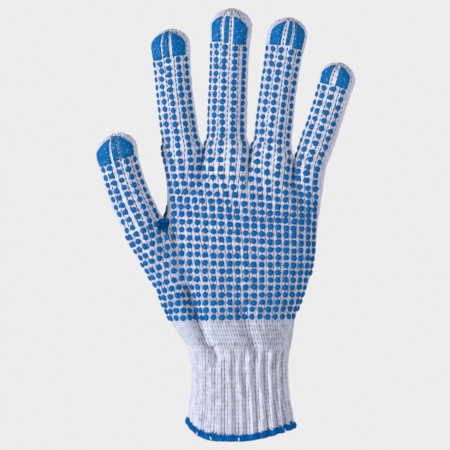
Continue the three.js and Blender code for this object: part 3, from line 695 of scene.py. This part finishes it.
turns = np.arange(CUFF_WALES * FINE) / (CUFF_WALES * FINE)
cuff_points = np.array([cuff_ring(share, turns) for share in np.linspace(0, 1, CUFF_COURSES * FINE + 1)])
around = np.roll(cuff_points, -1, axis=1) - np.roll(cuff_points, 1, axis=1)
cuff_cloth = {"points": cuff_points, "normals": unit(np.cross(around, np.gradient(cuff_points, axis=0))),
              "pitch": np.linalg.norm(around, axis=2, keepdims=True) * FINE / 2, "courses": CUFF_COURSES,
              "wales": CUFF_WALES, "beyond": np.full((2, CUFF_WALES * FINE, 1), CUFF_YARN_PAST)}
# Painted light: the cuff's yarn is a lighter copy of the knit yarn, standing in for the stronger light on
# the cuff.
cuff_yarn_painted_light = yarn_material("cuff_yarn_painted_light", (0.64, 0.665, 0.78), (0.80, 0.82, 0.94), COTTON_FUZZ, COTTON_SHEEN)
# Painted shade: the cuff's inner wall is a lighter grey-lavender for the fainter shadow between its loops.
cuff_painted_shade = yarn_material("cuff_painted_shade", (0.36, 0.34, 0.40), (0.46, 0.44, 0.50), COTTON_FUZZ, 0.0)
piece("cuff_knit", knit(cuff_cloth, 0, CUFF_COURSES), (cuff_yarn_painted_light, cuff_painted_shade), ("ribbed_cuff",))

# Hem: a blue overlock seam. A band of thread lies round the cut edge, whipped over by slanted
# stitches of two lengths, so that its upper edge is serrated.
HEM_STITCHES = 132
STITCH_POINTS = 4
HEM_POINTS = HEM_STITCHES * STITCH_POINTS
BAND_TOP = 0.86  # the band's upper edge, as a share of the hem's height
HEM_FUZZ = 3200.0
hem_turns = np.arange(HEM_POINTS) / HEM_POINTS
hem_share = (HEM_HEIGHT - HEM_THICKNESS - JOIN_GAP) / (CUFF_TOP - JOIN_GAP - HEM_THICKNESS - JOIN_GAP)
hem_thread = yarn_material("hem_thread", (0.0, 0.105, 0.36), (0.002, 0.165, 0.50), HEM_FUZZ, 0.0)
# Corners of the band's section: on its upper edge or not, offset from the cuff's outer face, and lift.
BAND = ((False, 0.5, 0.6), (False, 0.7, 1.6), (True, 0.6, 0.0), (True, 0.1, 0.0), (False, 0.1, 1.0),
        (False, -CUFF_WALL - 0.1, 1.0), (True, -CUFF_WALL - 0.1, 0.0), (True, -CUFF_WALL - 0.5, 0.0),
        (False, -CUFF_WALL - 0.5, 0.7), (False, -CUFF_WALL * 0.5, 0.4))


def hem_ring(upper, offset, lift=0.0):
    """A ring round the hem, along its upper edge or lifted from its lower one."""
    if upper:
        return cuff_ring(hem_share * BAND_TOP, hem_turns, np.full(HEM_POINTS, offset))
    return cuff_ring(0, hem_turns, np.full(HEM_POINTS, offset), lift)


band = np.array([hem_ring(upper, offset, lift) for upper, offset, lift in BAND])
band_part = plain_part(band, ring_quads(np.arange(len(BAND)), len(BAND), HEM_POINTS))

# Each stitch goes round the band on a path between four rings, a circle drawn out towards a square.
STITCH_STEPS = 14
STITCH_SQUARE = 0.6
STITCH_SLANT = 3  # points that a stitch leans on its way up
STITCH_STRAY = 0.6
LONG_STITCH = 0.2  # how much farther every other stitch reaches
REACH_STRAY = 0.14
THREAD = 0.46  # half thickness of the thread
outer_low, outer_high = hem_ring(False, 1.0, 0.5), hem_ring(True, 0.85)
inner_low, inner_high = hem_ring(False, -CUFF_WALL - 0.8, 0.5), hem_ring(True, -CUFF_WALL - 0.75)
start = np.arange(HEM_STITCHES)[:, None] * STITCH_POINTS
turn = np.arange(STITCH_STEPS) * 2 * math.pi / STITCH_STEPS
out_share = 0.5 + 0.5 * np.sign(np.cos(turn)) * np.abs(np.cos(turn))**STITCH_SQUARE
up_share = 0.5 + 0.5 * np.sign(np.sin(turn)) * np.abs(np.sin(turn))**STITCH_SQUARE
reach = 1 + LONG_STITCH * (start // STITCH_POINTS % 2)
reach = reach + REACH_STRAY * chance.standard_normal((HEM_STITCHES, 1))
slant = STITCH_SLANT * up_share + STITCH_STRAY * chance.standard_normal((HEM_STITCHES, 1))
column = (start + np.round(slant).astype(int)) % HEM_POINTS
outer_path = mix(outer_low[column], outer_high[column], (up_share * reach)[..., None])
inner_path = mix(inner_low[column], inner_high[column], (up_share * reach)[..., None])
path = mix(inner_path, outer_path, out_share[None, :, None])
forward = unit(np.roll(path, -1, axis=1) - np.roll(path, 1, axis=1))
outward = unit(path - path.mean(axis=1, keepdims=True))
sideways = unit(np.cross(forward, outward))
stitches_part = tube(path, sideways * THREAD, np.cross(sideways, forward) * THREAD)

# A few white yarn ends of the cuff show through the seam, as short spindles that stand on the band.
SPECK_PLACES = (-25.5, -17.4, -1.2, 25.5)
SPECK_HALF = (0.45, 0.35, 1.1)
SPECK_STEPS = 6
SPECK_SIDES = 6
SPECK_LEVEL = 0.35
SPECK_OUT = 0.45
SPECK_TILT = 0.4
SPECK_BEND = 0.25
SPECK_CAPS = ((3, 2, 1, 0), (5, 4, 3, 0), (30, 31, 32, 33), (30, 33, 34, 35))
specks = []
for across in SPECK_PLACES:
    nearest = int(np.argmin(np.where(outer_low[:, 1] < 0, np.abs(outer_low[:, 0] - across), np.inf)))
    centre = mix(outer_low[nearest], outer_high[nearest], SPECK_LEVEL) - np.array([0, SPECK_OUT, 0])
    tilt = chance.uniform(-SPECK_TILT, SPECK_TILT)
    steps = np.linspace(-1, 1, SPECK_STEPS)
    spine = centre + np.stack([steps * tilt, SPECK_BEND * steps**2, steps * SPECK_HALF[2]], axis=-1)
    angle = np.arange(SPECK_SIDES) * 2 * math.pi / SPECK_SIDES
    thick = np.sqrt(np.clip(1 - steps**2, 0.02, 1))[:, None, None]
    section = np.stack([np.cos(angle) * SPECK_HALF[0], np.sin(angle) * SPECK_HALF[1], 0 * angle], axis=-1)
    sides = ring_quads(np.arange(SPECK_STEPS - 1), SPECK_STEPS, SPECK_SIDES)
    specks.append(plain_part(spine[:, None] + thick * section, np.concatenate([sides, SPECK_CAPS]), 1))
piece("hem_overlock", [band_part, stitches_part] + specks, (hem_thread, knit_yarn),
      ("hem_band",))

# Grip dots: drops of soft blue compound printed on the palm side in columns, each a low dome with a
# slightly uneven rim that sits on the yarn's crowns.
DOT_RADIUS = 1.82
DOT_HEIGHT = 0.9
FINGER_DOT_RADIUS = 1.74
FINGER_DOT_HEIGHT = 0.65
DOT_SEGMENTS = 10
DOT_RINGS = ((1.0, -0.45), (1.0, 0.12), (0.9, 0.5), (0.6, 0.82), (0.25, 0.97))
DOT_SIZES = (0.93, 1.05)  # least and most, as shares of the radius
RIM_WAVES = (0.05, 0.035)
DOT_PITCH = 4.7
DOT_ROW = 4.5
COLUMN_LINE = -2.0  # x of the column that the others are counted from
LEFT_COLUMNS = 8  # columns to the left of it at the finger roots
BARE_SIDE = 1.5  # bare edge on the little finger's side
BARE_CROTCH = 0.9  # wales beside a crotch without dots
DOT_STRAY = 0.06  # wales or courses that a dot lies off its place
DOT_COURSE_STRAY = 0.05  # the same along a finger
ROW_POINTS = 400
# Columns of dots on a finger, as shares of its wales, and the pitch of its rows.
FINGER_DOT_TURNS = {
    "thumb": (0.2, 0.335, 0.48, 0.635, 0.81),
    "index_finger": (0.085, 0.275, 0.44, 0.615, 0.79),
    "middle_finger": (0.085, 0.255, 0.415, 0.59, 0.775),
    "ring_finger": (0.11, 0.28, 0.45, 0.62, 0.8),
    "little_finger": (0.09, 0.28, 0.47, 0.67),
}
FINGER_DOT_ROW = {"thumb": 4.4, "index_finger": 4.24, "middle_finger": 4.04, "ring_finger": 4.36,
                  "little_finger": 4.6}
FIRST_DOT = 2.3  # gap from a finger's print to its first dot

rubber, rubber_tree, rubber_shader = shader("grip_rubber", 0.36, (("Specular IOR Level", 0.06),))
rubber_mask = use_group(rubber_tree, cloud, (("Scale", 500.0),))
rubber_blue = blend_colours(rubber_tree, rubber_mask, (0.0, 0.092, 0.30), (0.0, 0.138, 0.41))
rubber_tree.links.new(rubber_blue, rubber_shader.inputs["Base Color"])
bump(rubber_tree, rubber_shader, fine_noise(rubber_tree, 1500.0), 0.00012)


def dots(field, places, radius=DOT_RADIUS, tall=DOT_HEIGHT):
    """Domes at (course, wale) places of a cloth, each turned to the cloth's normal, its rim a circle
    whose radius swells by sines of twice and three times the angle."""
    course, wale = np.array(places).T
    centre = sample(field, "points", course, wale)
    normal = unit(sample(field, "normals", course, wale))
    ahead = sample(field, "points", course, wale + 0.2) - centre
    east = unit(ahead - normal * (ahead * normal).sum(axis=-1, keepdims=True))
    north = np.cross(normal, east)
    count = len(course)
    angle = np.arange(DOT_SEGMENTS) * 2 * math.pi / DOT_SEGMENTS
    phase = chance.uniform(0, 2 * math.pi, (count, 2, 1))
    rim = 1 + RIM_WAVES[0] * np.sin(2 * angle + phase[:, 0]) + RIM_WAVES[1] * np.sin(3 * angle + phase[:, 1])
    rim = rim * radius * chance.uniform(*DOT_SIZES, (count, 1))
    spoke = np.cos(angle)[:, None] * east[:, None] + np.sin(angle)[:, None] * north[:, None]
    rings = [centre[:, None] + normal[:, None] * height * tall + rim[..., None] * share * spoke
             for share, height in DOT_RINGS]
    top = centre[:, None] + normal[:, None] * tall
    bottom = centre[:, None] + normal[:, None] * tall * DOT_RINGS[0][1]
    vertices = np.concatenate(rings + [top, bottom], axis=1)
    size = vertices.shape[1]
    s = np.arange(DOT_SEGMENTS)
    after = (s + 1) % DOT_SEGMENTS
    faces = []
    for ring in range(len(DOT_RINGS) - 1):
        low, high = ring * DOT_SEGMENTS, (ring + 1) * DOT_SEGMENTS
        faces.append(np.stack([low + s, low + after, high + after, high + s], axis=-1))
    last = (len(DOT_RINGS) - 1) * DOT_SEGMENTS
    none = np.full(DOT_SEGMENTS, -1)
    faces.append(np.stack([last + s, last + after, np.full(DOT_SEGMENTS, size - 2), none], axis=-1))
    faces.append(np.stack([after, s, np.full(DOT_SEGMENTS, size - 1), none], axis=-1))
    faces = np.concatenate(faces)
    shift = (np.arange(count) * size)[:, None, None]
    return plain_part(vertices, np.where(faces[None] < 0, -1, faces[None] + shift).reshape(-1, 4))


def palm_dots(field, wales, courses, crotches, gathered=None):
    """Places in rows across the palm side: from a line of even x, steps of one pitch along the row's arc.
    Where gathered columns are given, they draw over to these wales towards the top."""
    places = []
    for course in courses:
        wale = np.linspace(0.15, wales - 0.05, ROW_POINTS)
        points = sample(field, "points", np.full(ROW_POINTS, course), wale)
        walked = np.concatenate([[0], np.cumsum(np.linalg.norm(np.diff(points, axis=0), axis=1))])
        start = np.interp(COLUMN_LINE, points[:, 0], walked)
        steps = np.arange(-int(start / DOT_PITCH), int((walked[-1] - BARE_SIDE - start) / DOT_PITCH) + 1)
        if gathered is not None:
            steps = np.arange(len(gathered)) - LEFT_COLUMNS
        for order, distance in enumerate(start + steps * DOT_PITCH):
            spot_wale = float(np.interp(distance, walked, wale)) + DOT_STRAY * chance.standard_normal()
            if gathered is not None:
                spot_wale = mix(spot_wale, gathered[order], ease(course / field["courses"]))
            in_crotch = any(abs(spot_wale - crotch) < BARE_CROTCH and course > level
                            for crotch, level in crotches)
            if not in_crotch:
                places.append((course + DOT_STRAY * chance.standard_normal(), spot_wale))
    return places


FIRST_ROW = 6.7
LAST_ROW = LOWER_COURSES + UPPER_COURSES - 0.8
ROW_SPLIT = LOWER_COURSES + 0.2
dot_rows = np.linspace(FIRST_ROW, LAST_ROW, round((LAST_ROW - FIRST_ROW) * COURSE / DOT_ROW) + 1)
lower_rows = dot_rows[dot_rows < ROW_SPLIT]
upper_rows = dot_rows[dot_rows >= ROW_SPLIT] - LOWER_COURSES
lower_places = palm_dots(lower_cloth, ALL_WALES, lower_rows, ((THUMB["wales"], LOWER_COURSES - 3.6),))
gathered = np.concatenate([STARTS[i] + np.array(FINGER_DOT_TURNS[finger["name"]]) * finger["wales"]
                           for i, finger in enumerate(FINGERS)])
upper_places = palm_dots(upper_cloth, FINGER_WALES, upper_rows,
                         [(start, UPPER_COURSES - 1.0) for start in STARTS[1:4]], gathered)

# In the thumb's web the drops have run together into one small patch, pointed towards the wrist, and
# just above it into another at the edge of the index finger's side. Both are in shade, and their darker blue
# is painted shade.
PRINT_BOTTOM = -0.5  # how deep a patch sinks into the knit
PRINT_EDGE = 0.05  # height of a patch at its rim
WEB_WALES = 3.6
WEB_TOP = 0.2
WEB_POINT = 4.3
WEB_SIDE = 1.0
WEB_RISE = 0.45
WEB_EDGE_START = 0.1
WEB_EDGE_WALES = 2.4
WEB_EDGE_COURSES = 2.8
WEB_EDGE_TAPER = 0.8
WEB_EDGE_RISE = 0.4


def sheet_patch(top, bottom, slots=0):
    """A closed patch from two grids of points, the printed face and the one sunk in the knit."""
    up, across = top.shape[:2]
    r, c = np.meshgrid(np.arange(up - 1), np.arange(across - 1), indexing="ij")
    base = r * across + c
    face = np.stack([base, base + 1, base + 1 + across, base + across], axis=-1).reshape(-1, 4)
    under = across * up
    edge = np.concatenate([np.arange(across), np.arange(1, up) * across + across - 1,
                           (up - 1) * across + np.arange(across - 2, -1, -1),
                           np.arange(up - 2, 0, -1) * across])
    rolled = np.roll(edge, -1)
    wall = np.stack([rolled, edge, edge + under, rolled + under], axis=-1)
    faces = np.concatenate([face, face[:, ::-1] + under, wall])
    return plain_part(np.concatenate([top.reshape(-1, 3), bottom.reshape(-1, 3)]), faces, slots)


def printed_patch(field, course, wale, height, slots=0):
    """A closed patch laid on a cloth over a grid of courses and wales, with its face's height there."""
    points = sample(field, "points", course, wale)
    normal = unit(sample(field, "normals", course, wale))
    return sheet_patch(points + normal * height[..., None], points + normal * PRINT_BOTTOM, slots)


def rim_share(across, up):
    """How far a patch has risen from its rim: the root of the lesser distance, which stops at 1."""
    return np.clip(np.minimum(across, up), 0, 1)**0.5


u, v = np.meshgrid(np.linspace(-1, 1, 15), np.linspace(0, 1, 13))
web_course = LOWER_COURSES - mix(WEB_POINT - (WEB_POINT - WEB_SIDE) * np.abs(u), WEB_TOP, v)
web_rim = rim_share((1 - np.abs(u)) * 6, np.minimum(v, 1 - v) * 8)
web_patch = printed_patch(lower_cloth, web_course, THUMB["wales"] + WEB_WALES * u,
                          PRINT_EDGE + WEB_RISE * web_rim, 1)
u, v = np.meshgrid(np.linspace(0, 1, 9), np.linspace(0, 1, 13))
edge_wale = WEB_EDGE_START + WEB_EDGE_WALES * u * (1 - WEB_EDGE_TAPER * v)
edge_rim = rim_share(np.minimum(u, 1 - u) * 5, np.minimum(v, 1 - v) * 8)
edge_patch = printed_patch(upper_cloth, WEB_EDGE_START + WEB_EDGE_COURSES * v, edge_wale,
                           PRINT_EDGE + WEB_EDGE_RISE * edge_rim, 1)
# Painted shade: the web patches get a darker blue than the dots for the shade they lie in.
web_rubber_painted_shade, _, _ = shader("web_rubber_painted_shade", 0.6, (("Base Color", (0.0, 0.05, 0.17, 1.0)),
                                              ("Specular IOR Level", 0.05)))
palm_parts = [dots(lower_cloth, lower_places), dots(upper_cloth, upper_places), web_patch, edge_patch]
piece("palm_grip_dots", palm_parts, (rubber, web_rubber_painted_shade))

# Fingertip prints: the same compound laid on solid, in two or three strips that follow the tip; the
# furrows of the knit between them stay bare. Each replaces the solids' plain strip. A strip's numbers are
# where it starts and ends, as shares of the wales, how far its lower edge lies from the tip, and how far
# its upper edge does at the start and the end, as shares of the finger's width.
PRINTS = {
    "thumb": ((0.12, 0.395, 0.67, 0.34, 0.1), (0.435, 0.525, 0.65, 0.06, 0.06),
              (0.56, 0.8, 0.65, 0.07, 0.42)),
    "index_finger": ((0.08, 0.33, 0.83, 0.35, 0.11), (0.375, 0.46, 0.78, 0.08, 0.08),
                     (0.515, 0.77, 0.77, 0.09, 0.42)),
    "middle_finger": ((0.13, 0.32, 0.88, 0.42, 0.22), (0.39, 0.465, 0.9, 0.22, 0.22),
                      (0.54, 0.79, 0.93, 0.23, 0.52)),
    "ring_finger": ((0.19, 0.41, 0.8, 0.43, 0.13), (0.495, 0.565, 0.77, 0.1, 0.1),
                    (0.625, 0.83, 0.83, 0.12, 0.36)),
    "little_finger": ((0.13, 0.36, 0.75, 0.46, 0.12), (0.495, 0.73, 0.71, 0.1, 0.32)),
}
PRINT_ACROSS = 16
PRINT_UP = 30
PRINT_RISE = 0.55
PRINT_ARCH = 0.22  # how far the sloping end bows, as a share of its slope
STITCH_RIPPLE = 0.11
WALE_RIPPLE = 0.05

print_rubber, print_tree, print_shader = shader("tip_print_rubber", 0.5, (("Specular IOR Level", 0.04),))
print_mask = use_group(print_tree, cloud, (("Scale", 420.0),))
print_blue = blend_colours(print_tree, print_mask, (0.0, 0.095, 0.29), (0.0, 0.14, 0.40))
fleck = print_tree.nodes.new("ShaderNodeMapRange")
fleck.inputs["From Min"].default_value = 0.6
fleck.inputs["From Max"].default_value = 0.68
print_tree.links.new(fine_noise(print_tree, 1000.0), fleck.inputs["Value"])
flecked = print_tree.nodes.new("ShaderNodeMix")
flecked.data_type = "RGBA"
flecked.inputs["B"].default_value = (0.10, 0.36, 0.70, 1.0)
print_tree.links.new(fleck.outputs["Result"], flecked.inputs["Factor"])
print_tree.links.new(print_blue, flecked.inputs["A"])
print_tree.links.new(flecked.outputs["Result"], print_shader.inputs["Base Color"])
bump(print_tree, print_shader, fine_noise(print_tree, 900.0), 0.0006)


def print_strip(tip, strip):
    """A closed patch over part of a fingertip: a grid of wale and course whose upper end slopes from corner
    to corner in an arch, with a face that rises from its rim and ripples with the stitches beneath."""
    start, end, low, high_start, high_end = strip
    finger, field = tip["finger"], tip["field"]
    u, v = np.meshgrid(np.linspace(0, 1, PRINT_ACROSS), np.linspace(0, 1, PRINT_UP))
    wale = mix(start, end, u) * finger["wales"]
    high = mix(high_start, high_end, u) - PRINT_ARCH * abs(high_end - high_start) * 4 * u * (1 - u)
    from_tip = mix(low, high, v) * finger["width"]
    over = np.arcsin(np.clip(1 - from_tip / tip["dome"], 0, 1))
    distance = np.where(from_tip > tip["dome"], finger["length"] - from_tip,
                        tip["body"] + tip["dome"] * over)
    course = distance / tip["meridian"] * field["courses"]
    rim = rim_share(np.minimum(u, 1 - u) * 7, np.minimum(v, 1 - v) * 14)
    ripple = STITCH_RIPPLE * np.cos(2 * math.pi * wale) * np.cos(2 * math.pi * course)
    ripple = ripple + WALE_RIPPLE * np.cos(4 * math.pi * wale)
    return printed_patch(field, course, wale, PRINT_EDGE + PRINT_RISE * rim + ripple * rim)


for name, strips in PRINTS.items():
    tip = tips[name]
    field, finger = tip["field"], tip["finger"]
    for number, strip in enumerate(strips, start=1):
        piece(f"{name}_tip_print_{number}", [print_strip(tip, strip)], (print_rubber,),
              (f"{name}_print_{number}",))
    places = []
    for turn_share in FINGER_DOT_TURNS[name]:
        nearest = min(strips, key=lambda strip: max(strip[0] - turn_share, turn_share - strip[1]))
        first = finger["length"] - nearest[2] * finger["width"] - FIRST_DOT
        last = DOT_ROW - 0.8 * COURSE
        for distance in np.linspace(first, last, round((first - last) / FINGER_DOT_ROW[name]) + 1):
            course = distance / tip["meridian"] * field["courses"]
            course = course + DOT_COURSE_STRAY * chance.standard_normal()
            places.append((course, turn_share * finger["wales"] + DOT_STRAY * chance.standard_normal()))
    piece(name + "_grip_dots", [dots(field, places, FINGER_DOT_RADIUS, FINGER_DOT_HEIGHT)], (rubber,))

# Stage: a pale floor well below the glove, fading into an even pale backdrop.
BACKDROP = 0.847
FLOOR_LEVEL = -0.06  # metres, as all of the stage
FLOOR_RADIUS = 2.6
FADE_START = 0.15
FADE_END = 0.95
bpy.ops.mesh.primitive_circle_add(vertices=96, radius=FLOOR_RADIUS, fill_type="NGON",
                                  location=(0, 0, FLOOR_LEVEL))
floor = bpy.context.object
floor.name = "floor"
floor_material, floor_tree, floor_shader = shader("floor_paper", 0.9,
                                                  (("Base Color", (0.80, 0.80, 0.80, 1.0)),))
floor_place = floor_tree.nodes.new("ShaderNodeTexCoord")
floor_length = floor_tree.nodes.new("ShaderNodeVectorMath")
floor_length.operation = "LENGTH"
floor_tree.links.new(floor_place.outputs["Object"], floor_length.inputs[0])
floor_fade = floor_tree.nodes.new("ShaderNodeMapRange")
floor_fade.interpolation_type = "SMOOTHSTEP"
floor_fade.inputs["From Min"].default_value = FADE_START
floor_fade.inputs["From Max"].default_value = FADE_END
floor_tree.links.new(floor_length.outputs["Value"], floor_fade.inputs["Value"])
floor_glow = floor_tree.nodes.new("ShaderNodeEmission")
floor_glow.inputs["Color"].default_value = (BACKDROP, BACKDROP, BACKDROP, 1.0)
floor_mix = floor_tree.nodes.new("ShaderNodeMixShader")
floor_tree.links.new(floor_fade.outputs["Result"], floor_mix.inputs["Fac"])
floor_tree.links.new(floor_shader.outputs["BSDF"], floor_mix.inputs[1])
floor_tree.links.new(floor_glow.outputs["Emission"], floor_mix.inputs[2])
floor_tree.links.new(floor_mix.outputs["Shader"], floor_tree.nodes["Material Output"].inputs["Surface"])
floor.data.materials.append(floor_material)

# Light: soft daylight all round, a broad key from the upper left and a weak fill from the right.
AMBIENT = 0.24
LIGHT_AIM = (0.0, 0.0, 0.13)
world = bpy.data.worlds.new("studio")
bpy.context.scene.world = world
world.use_nodes = True
sky = world.node_tree
backdrop = sky.nodes["Background"]
backdrop.inputs["Color"].default_value = (BACKDROP, BACKDROP, BACKDROP, 1.0)
soft = sky.nodes.new("ShaderNodeBackground")
soft.inputs["Color"].default_value = (0.93, 0.94, 1.0, 1.0)
soft.inputs["Strength"].default_value = AMBIENT
seen = sky.nodes.new("ShaderNodeLightPath")
choose = sky.nodes.new("ShaderNodeMixShader")
sky.links.new(seen.outputs["Is Camera Ray"], choose.inputs["Fac"])
sky.links.new(soft.outputs["Background"], choose.inputs[1])
sky.links.new(backdrop.outputs["Background"], choose.inputs[2])
sky.links.new(choose.outputs["Shader"], sky.nodes["World Output"].inputs["Surface"])


def area_light(name, place, size, power, colour):
    """A square soft light that faces the middle of the glove."""
    data = bpy.data.lights.new(name, "AREA")
    data.size = size
    data.energy = power
    data.color = colour
    light = bpy.data.objects.new(name, data)
    light.location = place
    aim = np.array(LIGHT_AIM) - np.array(place)
    tip_down = math.acos(-aim[2] / np.linalg.norm(aim))
    light.rotation_euler = (tip_down, 0.0, math.atan2(aim[1], aim[0]) - math.pi / 2)
    bpy.context.scene.collection.objects.link(light)


area_light("key", (-1.25, -0.85, 0.25), 0.5, 20.5, (1.0, 0.99, 0.98))
area_light("fill", (0.6, -1.75, 0.3), 0.7, 13.5, (0.96, 0.96, 1.0))
area_light("back", (0.6, 1.3, 0.9), 1.0, 14.0, (1.0, 1.0, 1.0))

# Camera: level and square on to the palm side, far off with a long lens, framed as the photograph.
PIXEL = 0.58 * MM
FRAME_PIXELS = 450
WRIST_COLUMN = 241  # the photograph's pixel column of the wrist's centre
HEM_ROW = 440.5  # and its row of the hem's lowest point
DISTANCE = 2.6
view_centre = ((FRAME_PIXELS / 2 - WRIST_COLUMN) * PIXEL, (HEM_ROW - FRAME_PIXELS / 2) * PIXEL)
camera_data = bpy.data.cameras.new("camera")
camera_data.sensor_width = 36.0
camera_data.lens = camera_data.sensor_width * DISTANCE / (FRAME_PIXELS * PIXEL)
camera = bpy.data.objects.new("camera", camera_data)
camera.location = (view_centre[0], -DISTANCE, view_centre[1])
camera.rotation_euler = (math.pi / 2, 0.0, 0.0)
bpy.context.scene.collection.objects.link(camera)
bpy.context.scene.camera = camera
bpy.context.scene.view_settings.view_transform = "Standard"
